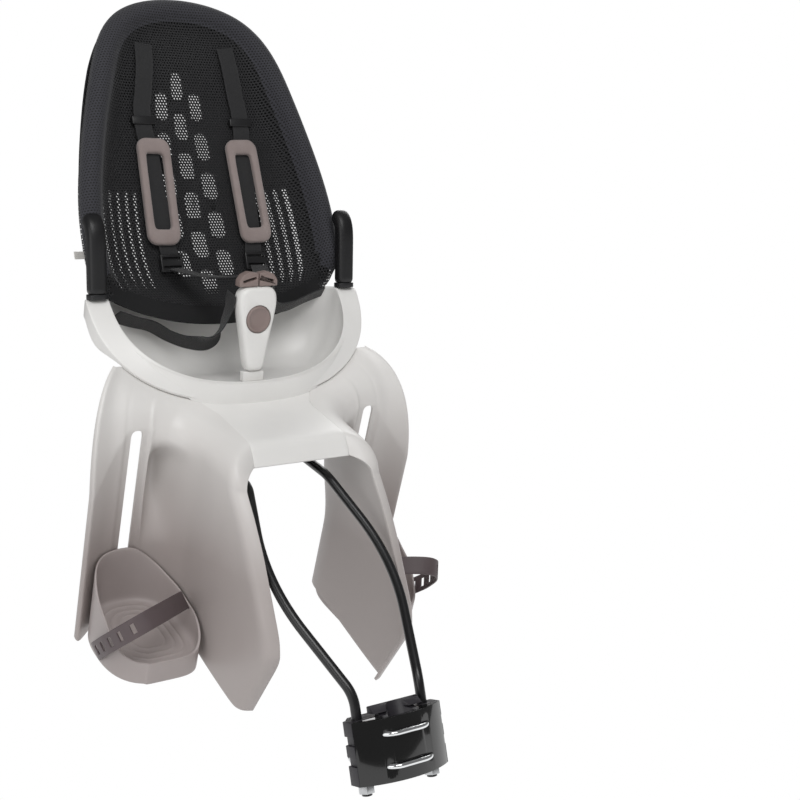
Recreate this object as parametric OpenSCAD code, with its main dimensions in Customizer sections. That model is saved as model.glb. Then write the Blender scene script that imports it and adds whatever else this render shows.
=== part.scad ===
// Rear child bike seat that clamps to a bicycle seat tube.
// Origin at the middle of the seat tube clamp, +Z up, the child faces -Y, +X is the child's left.

/* [Placement] */
// Height of the armrest feet above the middle of the clamp
seat_z = 488; // [470:1:510]
// Distance of the armrest feet behind the seat tube axis
seat_y = 373; // [360:1:390]
// Lean of the bicycle's seat tube from vertical
tube_tilt = 15.5; // [14:0.5:17]
// Lean of the shields' slots and of the deck's normal from vertical
shield_tilt = 17.3; // [16:0.1:19]
// Lean of the backrest from vertical
recline = 17.5; // [15:0.5:20]

/* [Seat pan] */
// Half width of the seat opening inside the rim band
pan_half_w = 174; // [165:1:176]
// Length of the sloping front of the rim, from an armrest foot to the front centre
rim_len = 133; // [128:1:138]
// Slope of the rim's plane from horizontal
rim_slope = 54; // [52:0.5:56]
// Width of the rim band
band_w = 32; // [28:1:34]
// Height of the skirt below the rim band
skirt_h = 24; // [18:1:26]
// Depth of the pan's floor below the armrest feet
pan_depth = 112; // [110:1:114]
// Wall of the pan
pan_wall = 4; // [3:0.5:4.5]

/* [Shields] */
// Half width of the deck's centre cover
cover_half_w = 70; // [66:1:74]
// Length of the deck in front of the rim
deck_len = 110; // [104:1:114]
// Distance of each leg guard from the middle
guard_x = 112; // [110:1:113]
// Half width over the wings
wing_x = 238; // [234:1:242]
// Length of the shields below the deck
shield_len = 300; // [294:1:306]
// Wall of the shields
shield_wall = 3.5; // [3:0.5:4]
// Width of a foot cup's slot
slot_w = 16; // [14:1:17]

/* [Foot cups] */
// Width of a foot cup
cup_w = 120; // [114:1:121]
// Depth of a foot cup from heel to toe
cup_len = 146; // [136:1:150]
// Wall of a foot cup
cup_wall = 3; // [2.5:0.5:3.5]

/* [Backrest] */
// Length of the backrest above the armrest feet
back_len = 423; // [412:1:432]
// Half width of the backrest at its foot
back_foot_w = 193; // [190:1:196]
// Half width of the backrest below its round top
back_top_w = 148; // [142:1:154]
// Width of the padded roll round the mesh
roll_w = 30; // [26:1:32]
// Wall of the backrest shell
shell_wall = 3; // [2.5:0.5:3.5]
// Depth of the shell behind the mesh
shell_depth = 42; // [40:1:46]

/* [Fork and clamp] */
// Diameter of the fork's steel rod
rod_d = 12; // [11:0.5:13]
// Distance of each rod from the middle at the clamp
rod_x = 46; // [45:1:48]
// Distance of each rod from the middle under the seat
rod_rear_x = 59; // [56:1:62]
// Half width of the bow in the fork
bow_x = 93; // [86:1:96]
// Diameter of the bicycle's seat tube
tube_d = 31.8; // [28.6:0.1:31.8]
// Width of the clamp housing
clamp_w = 125; // [123:1:130]
// Height of the clamp housing
clamp_h = 71; // [68:1:76]
// Bulge of the clamp's front cover
cover_bulge = 20; // [18:0.5:22]
// Travel of the release latch
latch_travel = 4; // [2:0.5:4]

/* [Harness] */
// Width of the webbing
web_w = 25; // [20:1:25]
// Thickness of the webbing
web_t = 1.6; // [1.2:0.2:2]
// Length of a shoulder pad
pad_len = 150; // [140:1:155]
// Width of a shoulder pad
pad_w = 50; // [46:1:52]
// Width of the buckle at its top
buckle_w = 60; // [56:1:62]
// Height of the buckle's body
buckle_h = 112; // [108:1:114]
// Travel of the buckle's button
button_travel = 3; // [2:0.5:3]

/* [Hidden] */

$fn = 48;
fit = 0.3;
rim_n = 2.35;
rear_n = 2.6;
pan_rear = 68;
pan_steps = 56;
rear_band = 10;
deck_at = [0, -72, -134];
back_at = [0, 10, 0];
guard_y = -78;
slot_x = 175;
slot_y = -16;
slot_low = -250;
knee_z = -195;
cup_y = slot_y - 3.5 - cup_len / 2;
cup_floor = -268;
cup_foot = -293;
rod_y = -13.5;
u_bolt_z = 18;
u_bolt_x = 31.5;
u_bolt_d = 6;
cover_r = 106;

shell_black = [0.10, 0.10, 0.11];
off_white = [0.91, 0.90, 0.88];
taupe_light = [0.72, 0.68, 0.67];
taupe = [0.56, 0.50, 0.49];
taupe_dark = [0.37, 0.32, 0.33];
web_black = [0.14, 0.14, 0.15];
steel = [0.78, 0.79, 0.80];

// Frames of the main groups
module at_seat() translate([0, seat_y, seat_z]) children();
module at_deck() at_seat() translate(deck_at) rotate([shield_tilt, 0, 0]) children();
module at_back() at_seat() translate(back_at) rotate([-recline, 0, 0]) children();
module at_clamp() rotate([-tube_tilt, 0, 0]) children();

// Small vector helpers
function unit(v) = v / max(norm(v), 0.000001);
function mix(a, b, t) = a + (b - a) * t;
function smooth(t) = let (c = min(max(t, 0), 1)) c * c * (3 - 2 * c);
function power(c, e) = sign(c) * pow(abs(c), e);
function bezier(a, b, c, t) = mix(mix(a, b, t), mix(b, c, t), t);
function turn_x(p, a) = [p[0], p[1] * cos(a) - p[2] * sin(a), p[1] * sin(a) + p[2] * cos(a)];
function deck_from_seat(p) = turn_x(p - deck_at, -shield_tilt);
function seat_from_back(p) = turn_x(p, -recline) + back_at;
function part_from_clamp(p) = turn_x(p, -tube_tilt);
function oval(a, w, l, n) = [w * power(cos(a), 2 / n), l * power(sin(a), 2 / n)];

// A sheet is a grid of points given a wall on one side; cells for which gap(i, j) is true stay open
function grid_normal(g, i, j, loop) =
    let (
        n = len(g),
        m = len(g[0]),
        down = g[min(i + 1, n - 1)][j] - g[max(i - 1, 0)][j],
        next = loop ? (j + 1) % m : min(j + 1, m - 1),
        prev = loop ? (j + m - 1) % m : max(j - 1, 0)
    )
    unit(cross(down, g[i][next] - g[i][prev]));

module sheet(g, wall, loop = false, cap = false, gap = function (i, j) false) {
    n = len(g);
    m = len(g[0]);
    cells = loop ? m : m - 1;
    front = [for (i = [0:n - 1]) for (j = [0:m - 1]) g[i][j]];
    back = [for (i = [0:n - 1]) for (j = [0:m - 1]) g[i][j] + wall * grid_normal(g, i, j, loop)];
    shift = n * m;
    there = function (i, j)
        i >= 0 && i < n - 1 && (loop || (j >= 0 && j < cells)) && !gap(i, (j + cells) % cells);
    id = function (i, j) i * m + (j % m);
    skins = [for (i = [0:n - 2]) for (j = [0:cells - 1]) if (there(i, j))
        let (a = id(i, j), b = id(i + 1, j), c = id(i + 1, j + 1), d = id(i, j + 1))
        each [[a, b, c], [a, c, d], [a + shift, c + shift, b + shift], [a + shift, d + shift, c + shift]]];
    edges = [for (i = [0:n - 2]) for (j = [0:cells - 1]) if (there(i, j))
        let (a = id(i, j), b = id(i + 1, j), c = id(i + 1, j + 1), d = id(i, j + 1))
        each [
            if (!there(i, j - 1)) [b, a],
            if (!there(i, j + 1)) [d, c],
            if (!there(i - 1, j)) [a, d],
            if (!there(i + 1, j) && !(cap && i == n - 2)) [c, b]
        ]];
    walls = [for (e = edges) each [[e[0], e[1], e[1] + shift], [e[0], e[1] + shift, e[0] + shift]]];
    last = (n - 1) * m;
    caps = cap ? [for (j = [1:m - 2]) each [[last, last + j + 1, last + j],
        [last + shift, last + j + shift, last + j + 1 + shift]]] : [];
    faces = concat(skins, walls, caps);
    turned = wall < 0 ? [for (f = faces) [f[0], f[2], f[1]]] : faces;
    polyhedron(points = concat(front, back), faces = turned);
}

// A solid through a row of rings, each ring anticlockwise as seen from the last ring's end
module loft(rings) {
    n = len(rings);
    m = len(rings[0]);
    last = (n - 1) * m;
    skin = [for (i = [0:n - 2]) for (j = [0:m - 1])
        let (a = i * m + j, b = a + m, d = i * m + (j + 1) % m, c = d + m)
        each [[a, b, c], [a, c, d]]];
    caps = [for (j = [1:m - 2]) each [[0, j, j + 1], [last, last + j + 1, last + j]]];
    polyhedron(points = [for (r = rings) each r], faces = concat(skin, caps));
}

// A band of webbing along a path, its width in the given direction
module band(path, across, width, wall) {
    sheet([for (p = path) [for (s = [-0.5, 0.5]) p + s * width * across]], wall);
}

// A rod bent along corner points, with an arc of the given radius at each inner corner
module bent_rod(pts, radii, d) {
    n = len(pts);
    dirs = [for (i = [0:n - 2]) unit(pts[i + 1] - pts[i])];
    bend = [for (i = [0:n - 1]) i == 0 || i == n - 1 ? 0 : acos(min(1, dirs[i - 1] * dirs[i]))];
    cut = [for (i = [0:n - 1]) i == 0 || i == n - 1 ? 0 : radii[i] * tan(bend[i] / 2)];
    for (i = [0:n - 2]) {
        a = pts[i] + dirs[i] * cut[i];
        b = pts[i + 1] - dirs[i] * cut[i + 1];
        on_axis(a, dirs[i]) cylinder(d = d, h = norm(b - a));
    }
    for (i = [1:n - 2]) {
        x = dirs[i - 1];
        z = unit(cross(x, dirs[i]));
        y = cross(z, x);
        c = pts[i] - x * cut[i] + y * radii[i];
        multmatrix([[x[0], y[0], z[0], c[0]], [x[1], y[1], z[1], c[1]], [x[2], y[2], z[2], c[2]], [0, 0, 0, 1]])
            rotate([0, 0, -90]) rotate_extrude(angle = bend[i]) translate([radii[i], 0]) circle(d = d);
    }
}

// Points along a rod bent at its corners, the arcs in equal steps of at most 9 degrees
function rod_line(pts, radii) =
    let (
        n = len(pts),
        dirs = [for (i = [0:n - 2]) unit(pts[i + 1] - pts[i])]
    )
    concat([pts[0]], [for (i = [1:n - 2])
        let (
            x = dirs[i - 1],
            bend = acos(min(1, x * dirs[i])),
            y = cross(unit(cross(x, dirs[i])), x),
            c = pts[i] - x * radii[i] * tan(bend / 2) + y * radii[i],
            steps = ceil(bend / 9)
        )
        each [for (k = [0:steps]) let (f = bend * k / steps) c + radii[i] * (x * sin(f) - y * cos(f))]],
        [pts[n - 1]]);

// A round rod swept along a line of points without twist
module swept_rod(line, d, sides = 16) {
    n = len(line);
    way = [for (i = [0:n - 1]) unit(line[min(i + 1, n - 1)] - line[max(i - 1, 0)])];
    start = unit(cross(way[0], [0, 1, 0]));
    side = [for (i = 0, v = start; i < n; i = i + 1, v = i < n ? unit(v - way[i] * (v * way[i])) : v) v];
    loft([for (i = [0:n - 1]) let (up = cross(way[i], side[i])) [for (j = [0:sides - 1])
        let (a = 360 * j / sides) line[i] + d / 2 * (side[i] * cos(a) + up * sin(a))]]);
}

module on_axis(at, z) {
    side = abs(z[0]) < 0.9 ? [1, 0, 0] : [0, 1, 0];
    x = unit(side - z * (side * z));
    y = cross(z, x);
    multmatrix([[x[0], y[0], z[0], at[0]], [x[1], y[1], z[1], at[1]], [x[2], y[2], z[2], at[2]], [0, 0, 0, 1]])
        children();
}

// A plate with four round corners, standing on z = 0
module round_plate(w, l, h, r) {
    for (x = [-1, 1]) for (y = [-1, 1]) translate([x * (w / 2 - r), y * (l / 2 - r), 0]) cylinder(r = r, h = h);
    translate([-w / 2 + r, -l / 2, 0]) cube([w - 2 * r, l, h]);
    translate([-w / 2, -l / 2 + r, 0]) cube([w, l - 2 * r, h]);
}

// Seat pan: rings from the skirt over the band and down the bowl to the floor.
// The angle runs from the left armrest foot over the rear, the right foot and the front.
function rim_point(a, half_w, len, rear, drop) =
    let (
        c = cos(a),
        s = sin(a),
        e = s > 0 ? rear_n : rim_n,
        x = half_w * power(c, 2 / e),
        d = s < 0 ? len * pow(-s, 2 / e) : 0,
        y = s > 0 ? rear * pow(s, 2 / e) : 0
    )
    [x, y - d * cos(rim_slope) + drop * sin(rim_slope), -d * sin(rim_slope) - drop * cos(rim_slope)];
function band_at(a) = let (s = sin(a)) s <= 0 ? band_w : mix(band_w, rear_band, smooth(s * 2.6));
function edge_drop(a) = 14 * max(0, -sin(a));
function skirt_at(a) = let (s = sin(a)) s > 0 ? mix(skirt_h, 8, smooth(s * 2.6))
    : mix(4, skirt_h, smooth((0.55 + s) / 0.4));
function rim_inner(a) = rim_point(a, pan_half_w, rim_len, pan_rear, 0);
function rim_outer(a) = rim_point(a, pan_half_w + band_at(a), rim_len + 20, pan_rear + rear_band, edge_drop(a));
function skirt_low(a) =
    let (o = rim_outer(a), k = skirt_at(a), s = max(0, -sin(a)))
    [o[0], o[1] + k * mix(0.25, sin(rim_slope), s), o[2] - k * mix(0.97, cos(rim_slope), s)];
function bowl(a, t) =
    let (
        e = rim_inner(a),
        f = [e[0] * 0.66, e[1] < 0 ? e[1] * 0.74 : e[1] * 0.35, -pan_depth],
        c = cos(90 * t),
        s = sin(90 * t)
    )
    [mix(f[0], e[0], c), mix(f[1], e[1], c), mix(e[2], f[2], s)];
function pan_angle(j) = 360 * j / pan_steps;
pan_rings = concat(
    [[for (j = [0:pan_steps - 1]) skirt_low(pan_angle(j))]],
    [[for (j = [0:pan_steps - 1]) rim_outer(pan_angle(j))]],
    [for (t = [0, 0.12, 0.26, 0.42, 0.58, 0.75, 0.9, 1]) [for (j = [0:pan_steps - 1]) bowl(pan_angle(j), t)]],
    [for (k = [0.6, 0.25]) [for (j = [0:pan_steps - 1])
        let (f = bowl(pan_angle(j), 1)) [f[0] * k, (f[1] + 20) * k - 20, f[2]]]]
);
module seat_pan() color(off_white) at_seat() sheet(pan_rings, pan_wall, loop = true, cap = true);

// A point of the deck frame just under the rim's front edge, for a given distance from the middle
function under_rim(x) =
    let (
        c = pow(x / (pan_half_w + band_w), rim_n / 2),
        p = deck_from_seat(skirt_low(-acos(c)))
    )
    [x, p[1] - 0.7, p[2] - 0.9];

// Deck cover between the two shields, with its front lip, in the deck frame
function seam_x(y) = cover_half_w + 22 * pow(max(0, (y + 30) / 30), 2);
cover_rows = [[-18, 0], [-32, 0], [-50, 0], [-75, 0], [-deck_len + 6, 0], [-deck_len, -1],
    [-deck_len - 5, -5], [-deck_len - 19, -23]];
module centre_cover() {
    rear = seam_x(-6) - fit;
    rows = [for (p = cover_rows) let (w = seam_x(p[0]) - fit) [for (s = [-6:6]) [w * s / 6, p[0], p[1]]]];
    top = [for (s = [-6:6]) let (u = under_rim(rear * abs(s) / 6)) [rear * s / 6, u[1], u[2]]];
    color(off_white) at_deck() sheet(concat([top], rows), -shield_wall);
}

// Leg shield: columns from the guard's front edge round the leg channel to the wing.
// Each column rolls out of the deck or the rim's underside and runs down as a wall.
front_edge = [[-23, -129], [-33, -148], [-60, -180], [-93, -213], [-170, -276], [knee_z, -285], [-shield_len, -247]];
function guard_at(x, share, inset) = function (z) [x, mix(lookup(z, front_edge) + inset, guard_y, share)];
function wall_at(x, y) = function (z) [x, y];
function seam_top(y, z = 0) = [seam_x(y) + fit, y, z];
// Each column: wall position, height where the wall begins, rise of the foot, pocket depth, top point
shield_columns = [
    [guard_at(92, 0, 0), -40, 6, 0, [cover_half_w + fit, -deck_len - 19, -23]],
    [guard_at(103, 0, 4), -40, 5, 0, [cover_half_w + fit, -deck_len - 12, -13]],
    [guard_at(108, 0, 16), -40, 4, 0, [cover_half_w + fit, -deck_len - 4, -4]],
    [guard_at(guard_x - 1, 0.35, 16), -40, 9, 0, [cover_half_w + fit, -deck_len + 3, 0]],
    [guard_at(guard_x, 0.7, 16), -40, 15, 0, seam_top(-90)],
    [wall_at(guard_x, guard_y), -40, 24, 0, seam_top(-68)],
    [wall_at(guard_x + 2, -64), -40, 22, 0, seam_top(-50)],
    [wall_at(guard_x + 6, -50), -40, 19, 0.25, seam_top(-34)],
    [wall_at(guard_x + 14, -36), -36, 16, 0.7, seam_top(-19)],
    [wall_at(guard_x + 24, -27), -32, 13, 1, under_rim(seam_x(-6) + fit)],
    [wall_at(guard_x + 30, -24), -29, 12, 0.9, under_rim(101)],
    [wall_at(149, -21), -25, 11, 0.6, under_rim(118)],
    [wall_at(157, -18), -20, 10, 0, under_rim(134)],
    [wall_at(slot_x - slot_w / 2, slot_y), -18, 9, 0, under_rim(146)],
    [wall_at(slot_x + slot_w / 2, slot_y), -18, 8, 0, under_rim(157)],
    [wall_at(194, -18), -28, 6, 0, under_rim(166)],
    [wall_at(206, -23), -45, 3, 0, under_rim(173)],
    [wall_at(217, -30), -62, 0, 0, under_rim(178)],
    [wall_at(wing_x - 9, -38), -78, -3, 0, under_rim(183) + [0, -7, -1.3]],
    [wall_at(wing_x, -45), -90, -3, 0, under_rim(186) + [2.5, -14.5, -2]],
    [wall_at(wing_x + 3, -37), -90, -2, 0, under_rim(186) + [6, -12.5, -1]]
];
slot_cell = 13;
roll_steps = 6;
wall_steps = 6;
function pocket(z) = 34 * smooth((-40 - z) / 26) * smooth((z + 182) / 90);
function column_point(c, k) =
    let (
        low = -shield_len + c[2],
        w = c[1],
        z = k <= roll_steps ? w
            : k <= roll_steps + wall_steps ? mix(w, knee_z, (k - roll_steps) / wall_steps)
            : k == roll_steps + wall_steps + 1 ? mix(knee_z, slot_low, 0.5)
            : k == roll_steps + wall_steps + 2 ? slot_low : low,
        p = c[0](z),
        t = c[4]
    )
    k < roll_steps
        ? bezier(t, [p[0], mix(p[1], t[1], 0.28), mix(t[2], w, 0.1)], [p[0], p[1], w], k / roll_steps)
        : [p[0], p[1] + c[3] * pocket(z), z];
shield_rows = [for (k = [0:roll_steps + wall_steps + 3]) [for (c = shield_columns) column_point(c, k)]];
module leg_shield() {
    color(taupe_light) at_deck() sheet(shield_rows, -shield_wall,
        gap = function (i, j) j == slot_cell && i >= roll_steps && i < roll_steps + wall_steps + 2);
}

// Foot cup in the deck frame. Its rim is a high arch at the heel and a low lip at the toe,
// and its rings run from the sole's underside, round the outside and the rim, to the floor.
cup_rim_table = [[-180, -228], [-150, -247], [-120, -261], [-60, -262], [-30, -254], [0, -222], [30, -193], [60, -187],
    [97, -186], [120, -203], [150, -221], [180, -228]];
function cup_rim(a) = lookup(a, cup_rim_table);
function cup_point(a, z, inset) =
    let (o = oval(a, cup_w / 2 - inset, cup_len / 2 - inset, a < -90 ? 4.5 : 2.5))
    [slot_x + o[0], cup_y + o[1], z];
cup_steps = 40;
module foot_cup() {
    angles = [for (j = [0:cup_steps - 1]) 360 * j / cup_steps - 180];
    level = function (z, inset) [for (a = angles) cup_point(a, z, inset)];
    upright = function (z, share, inset) [for (a = angles) cup_point(a, mix(cup_rim(a), z, share), inset)];
    color(taupe_light) at_deck() loft([
        level(cup_floor - cup_wall, 36), level(cup_floor - cup_wall, 9), level(cup_floor - cup_wall - 4, cup_wall + 0.6),
        level(cup_foot, cup_wall), level(cup_foot, 0.8), level(cup_foot + 3, 0), upright(cup_foot, 0.5, 0),
        upright(cup_foot, 0, 0), upright(cup_foot, 0, cup_wall - 0.2), upright(cup_floor + 5, 0.5, cup_wall),
        level(cup_floor + 5, cup_wall + 0.8), level(cup_floor, 10), level(cup_floor, 36)
    ]);
}
module cup_slider() {
    color(shell_black) at_deck() difference() {
        translate([slot_x - slot_w / 2 + fit, cup_y + cup_len / 2 + 0.1, -244])
            cube([slot_w - 2 * fit, slot_y + 3.9 - cup_y - cup_len / 2, 46]);
        slider_holes(4.1);
    }
}
module slider_holes(d) for (z = [-234, -210]) translate([slot_x, cup_y + cup_len / 2 + 1.5, z])
    rotate([-90, 0, 0]) cylinder(d = d, h = 30);
module slider_plate() color(shell_black) at_deck() difference() {
    translate([slot_x, slot_y + 4.1, -221]) rotate([-90, 0, 0]) round_plate(26, 52, 3.5, 5);
    slider_holes(4.1);
}
module slider_screws() color(steel) at_deck() for (z = [-234, -210]) {
    translate([slot_x, cup_y + cup_len / 2 + 2, z]) rotate([-90, 0, 0]) cylinder(d = 4, h = slot_y + 6 - cup_y - cup_len / 2);
    translate([slot_x, slot_y + 7.65, z]) rotate([-90, 0, 0]) cylinder(d1 = 8, d2 = 6, h = 2.6);
}
// The strap rises from the cup's inner wall, crosses the instep and ends on the outer wall
strap_points = [[64.3, -6, -281], [69, -19.5, -268], [70.3, -40.5, -245.4], [66.9, -55.5, -227.8], [61, -69.5, -210.2],
    [51.1, -77.5, -197.1], [34.6, -77.5, -189.6], [11.1, -65.5, -191.8], [-16.5, -43.5, -202.8],
    [-47.2, -15.5, -218.8], [-52, -12, -222]];
module foot_strap() {
    path = [for (p = strap_points) [slot_x + p[0] * cup_w / 120, cup_y + p[1] * cup_len / 146, p[2]]];
    color(taupe_dark) at_deck() band(path, unit([0.3, 0.6, 0.75]), 24, 2.2);
}

// Backrest outline, its shell and the mesh cover with its padded roll, in the back frame
function back_half(h) = (back_foot_w - (back_foot_w - back_top_w) * smooth((h - 88) / 284))
    * sqrt(max(0, 1 - pow(h / back_len, 8)));
half_outline = concat(
    [for (x = [0, 45, 85, 120, 147]) [x, -40 + 40 * pow(x / 165, 2.2)]],
    [[165, 1], [179, 12], [back_foot_w - 5, 28], [back_foot_w - 1, 48]],
    [for (h = [75, 110, 145, 180, 215, 250, 285, 315, 342, 365, 383]) [back_half(h), h]],
    [for (k = [0.955, 0.977, 0.992]) [back_half(back_len * k), back_len * k]]
);
outline = concat(half_outline, [[0, back_len]], [for (k = [len(half_outline) - 1:-1:1]) [-half_outline[k][0], half_outline[k][1]]]);
function curl(h) = 18 * pow(max(0, (h - 300) / 115), 2);
function panel_y(h) = 24 - 14 * smooth((h - 235) / 115);
// A point inset from the outline towards the spine of the back
function spine_point(p) = [0, min(max(p[1], 130), 250)];
function inset_point(p, e) = mix(p, spine_point(p), min(0.95, e / norm(p - spine_point(p))));
function share_point(p, share) = mix(p, spine_point(p), share);
function roll_share(p) = smooth((p[1] - 2) / 40);
// Rows: inset on the roll, depth on the roll, share of the panel's depth, inset where the cover lies flat.
// The last value, where it isn't 0, is the share of the way to the spine instead of an inset.
cover_profile = [[2, 13, 0, 0, 0], [0, 3, 0, 3, 0], [5, -8, 0, 8, 0], [13, -12, 0, 15, 0], [23, -9, 0, 23, 0],
    [roll_w, -4, 0.1, roll_w, 0], [46, 7, 0.7, 46, 0], [60, 20, 1, 60, 0], [0, 20, 1, 0, 0.55],
    [0, 20, 1, 0, 0.78], [0, 20, 1, 0, 0.93]];
mesh_rings = [for (r = cover_profile) [for (p = outline)
    let (
        k = roll_share(p),
        q = r[4] == 0 ? inset_point(p, mix(r[3], r[0], k)) : share_point(p, r[4]),
        flat = mix(12, panel_y(q[1]), r[2]),
        roll = mix(r[1], panel_y(q[1]), r[2])
    )
    [q[0], mix(flat, roll, k) + curl(q[1]), q[1]]]];
module mesh_cover() color(web_black) at_back() sheet(mesh_rings, 2.2, loop = true, cap = true);

// Shell of the backrest: rows up the back and columns across it, with staggered openings down the middle
// and upright slots at the sides
shell_front = 14.8;
shell_edge = 5;
lattice_pitch = 57;
lattice_rows = [for (k = [0:4]) for (d = [-20, -8.5, 8.5, 20]) 52 + lattice_pitch * k + d];
shell_heights = concat([3.5, 15], lattice_rows, [317, 328.5],
    [for (k = [0.845, 0.905, 0.95, 0.975]) back_len * k], [back_len - shell_edge]);
half_columns = [12, 21, 45, 54, 78, 88, 95, 102, 109, 116, 123, 130, 137, 144, 151, 166, 180, 188];
shell_columns = [for (k = [17:-1:0]) -half_columns[k] / 188, for (k = [0:17]) half_columns[k] / 188];
foot_widths = [[3.5, 168], [15, 181.5], [32, 188.5], [43.5, 191], [60.5, 192.6], [72, 193]];
function shell_half(h) = (h < 72 ? lookup(h, foot_widths) * back_foot_w / 193 : back_half(h)) - shell_edge;
function shell_point(x, h) =
    let (
        v = h > 190 ? (h - 190) / (back_len - shell_edge - 190) : (190 - h) / 228,
        u = min(1, pow(pow(abs(x) / 188, 4) + pow(abs(v), 4), 0.25))
    )
    [x, shell_front + shell_depth * (1 - pow(u, 3)) + curl(h), h];
shell_rows = concat(
    [[for (s = shell_columns) shell_point(160 * s, -38 + 40 * pow(abs(160 * s) / 165, 2.2))]],
    [for (h = shell_heights) [for (s = shell_columns) shell_point(shell_half(h) * s, h)]]
);
// Cells of the shell that stay open: the middle column's holes, those beside it and the side slots
function shell_open(i, j) =
    let (q = abs(j - 17))
    q == 0 ? i > 0 && i < 24 && (i - 1) % 4 < 3
    : q == 2 ? i > 2 && i < 22 && (i - 3) % 4 < 3
    : q > 5 && q < 15 && q % 2 == 0 && i > 1 && i < 12;
module back_shell() color(shell_black) at_back()
    sheet(shell_rows, shell_wall, gap = function (i, j) shell_open(i, j));

// Armrests: an upright post on the rim that turns back to the padded roll
arm_x = 189;
arm_ring = 20;
arm_path = [[4, 7, 90], [4, 45, 90], [4.4, 74, 87], [7.5, 89, 72], [13, 97, 56], [19, 101, 45]];
module armrest() {
    rings = [for (p = arm_path) [for (j = [0:arm_ring - 1])
        let (o = oval(-360 * j / arm_ring, 12.5, 10, 3))
        [arm_x + o[0], p[0] - o[1] * sin(p[2]), p[1] + o[1] * cos(p[2])]]];
    color(web_black) at_seat() loft(rings);
}
module armrest_collar() {
    rings = [for (k = [0, 1]) [for (j = [0:arm_ring - 1])
        let (o = oval(360 * j / arm_ring, 13.1, 10.6, 3))
        [arm_x + o[0], arm_path[0][0] + o[1], k == 0 ? fit : arm_path[0][1] - fit]]];
    color(shell_black) at_seat() loft(rings);
}

// Steel fork: one rod bent from the clamp, out round the wheel and together under the seat
rod_slope = 50 / 214;
function rod_z(y) = -226 + rod_slope * (y + 154);
fork_half = [
    part_from_clamp([rod_x, rod_y, -50]),
    part_from_clamp([rod_x, rod_y, 63]),
    [bow_x, seat_y - 255, seat_z - 318],
    [rod_rear_x, seat_y - 154, seat_z + rod_z(-154)],
    [rod_rear_x, seat_y + 78, seat_z + rod_z(78)]
];
fork_points = concat(fork_half, [for (k = [4:-1:0]) [-fork_half[k][0], fork_half[k][1], fork_half[k][2]]]);
module fork() color(shell_black)
    swept_rod(rod_line(fork_points, [0, 45, 260, 40, 30, 30, 40, 260, 45, 0]), rod_d);
module rear_rods(d) for (x = [-rod_rear_x, rod_rear_x])
    on_axis([x, -154, rod_z(-154)], unit([0, 214, 50])) cylinder(d = d, h = 260);
module carrier_screw_places() for (x = [-74, 74]) for (y = [-72, 18])
    on_axis([x, y, rod_z(y)], unit([0, -50, 214])) children();
module fork_carrier() color(shell_black) at_seat() difference() {
    rotate([90, 0, 90]) translate([0, 0, -84]) linear_extrude(168) polygon([
        [-46, -pan_depth - pan_wall - fit], [8, -pan_depth - pan_wall - fit], [44, rod_z(44) + 14],
        [44, rod_z(44) + 0.2], [-92, rod_z(-92) + 0.2], [-92, rod_z(-92) + 14]]);
    translate([-38, -120, -300]) cube([76, 220, 172]);
    rear_rods(rod_d + 0.1);
    carrier_screw_places() translate([0, 0, -20]) cylinder(d = 6.1, h = 33);
}
module fork_clamp_plate() color(steel) at_seat() difference() {
    rotate([90, 0, 90]) translate([0, 0, -84]) linear_extrude(168) polygon([
        [44, rod_z(44) - 0.2], [44, rod_z(44) - 9], [-92, rod_z(-92) - 9], [-92, rod_z(-92) - 0.2]]);
    translate([-46, -70, -300]) cube([92, 90, 200]);
    rear_rods(rod_d + 0.1);
    carrier_screw_places() translate([0, 0, -20]) cylinder(d = 6.1, h = 40);
}
module fork_clamp_screws() color(steel) at_seat() carrier_screw_places() {
    translate([0, 0, -9.2]) cylinder(d = 6, h = 21);
    translate([0, 0, -13.2]) cylinder(d = 10, h = 4.1);
}

// Clamp on the seat tube, in the clamp frame with the tube along z
module u_bolt(z) bent_rod([[u_bolt_x, 36, z], [u_bolt_x, -49.4, z], [-u_bolt_x, -49.4, z], [-u_bolt_x, 36, z]],
    [0, 18, 18, 0], u_bolt_d);
module u_bolt_room() for (z = [-u_bolt_z, u_bolt_z])
    bent_rod([[u_bolt_x, 40, z], [u_bolt_x, -49.4, z], [-u_bolt_x, -49.4, z], [-u_bolt_x, 40, z]],
        [0, 18, 18, 0], u_bolt_d + 0.4);
module latch_room() translate([-25 - fit, -39 - fit, 14 - latch_travel]) cube([50 + 2 * fit, 20 + 2 * fit, 60]);
module clamp_housing() color(shell_black) at_clamp() difference() {
    translate([0, 0, -clamp_h / 2]) linear_extrude(clamp_h) polygon([
        [-clamp_w / 2, -26], [clamp_w / 2, -26], [clamp_w / 2, -9], [40, -2], [-40, -2], [-clamp_w / 2, -9]]);
    cylinder(d = tube_d, h = 200, center = true);
    for (x = [-rod_x, rod_x]) translate([x, rod_y, -60]) cylinder(d = rod_d + 0.1, h = 120);
    for (x = [-1, 1]) for (z = [14, -9]) translate([x * (clamp_w / 2 + 2), -12, z]) cube([12, 40, 10], center = true);
    u_bolt_room();
    latch_room();
}
module clamp_cover() color([0.03, 0.03, 0.035]) at_clamp() difference() {
    intersection() {
        translate([0, -26 - cover_bulge + cover_r, -clamp_h / 2]) cylinder(r = cover_r, h = clamp_h, $fn = 160);
        translate([-clamp_w / 2, -80, -clamp_h / 2]) cube([clamp_w, 80 - 26.1, clamp_h]);
    }
    u_bolt_room();
    latch_room();
}
module clamp_jaw() color(shell_black) at_clamp() difference() {
    translate([0, 0, -31]) linear_extrude(62) polygon([[-44, 2], [44, 2], [44, 14], [36, 23], [-36, 23], [-44, 14]]);
    cylinder(d = tube_d, h = 200, center = true);
    u_bolt_room();
}
module upper_u_bolt() color(steel) at_clamp() u_bolt(u_bolt_z);
module lower_u_bolt() color(steel) at_clamp() u_bolt(-u_bolt_z);
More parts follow.
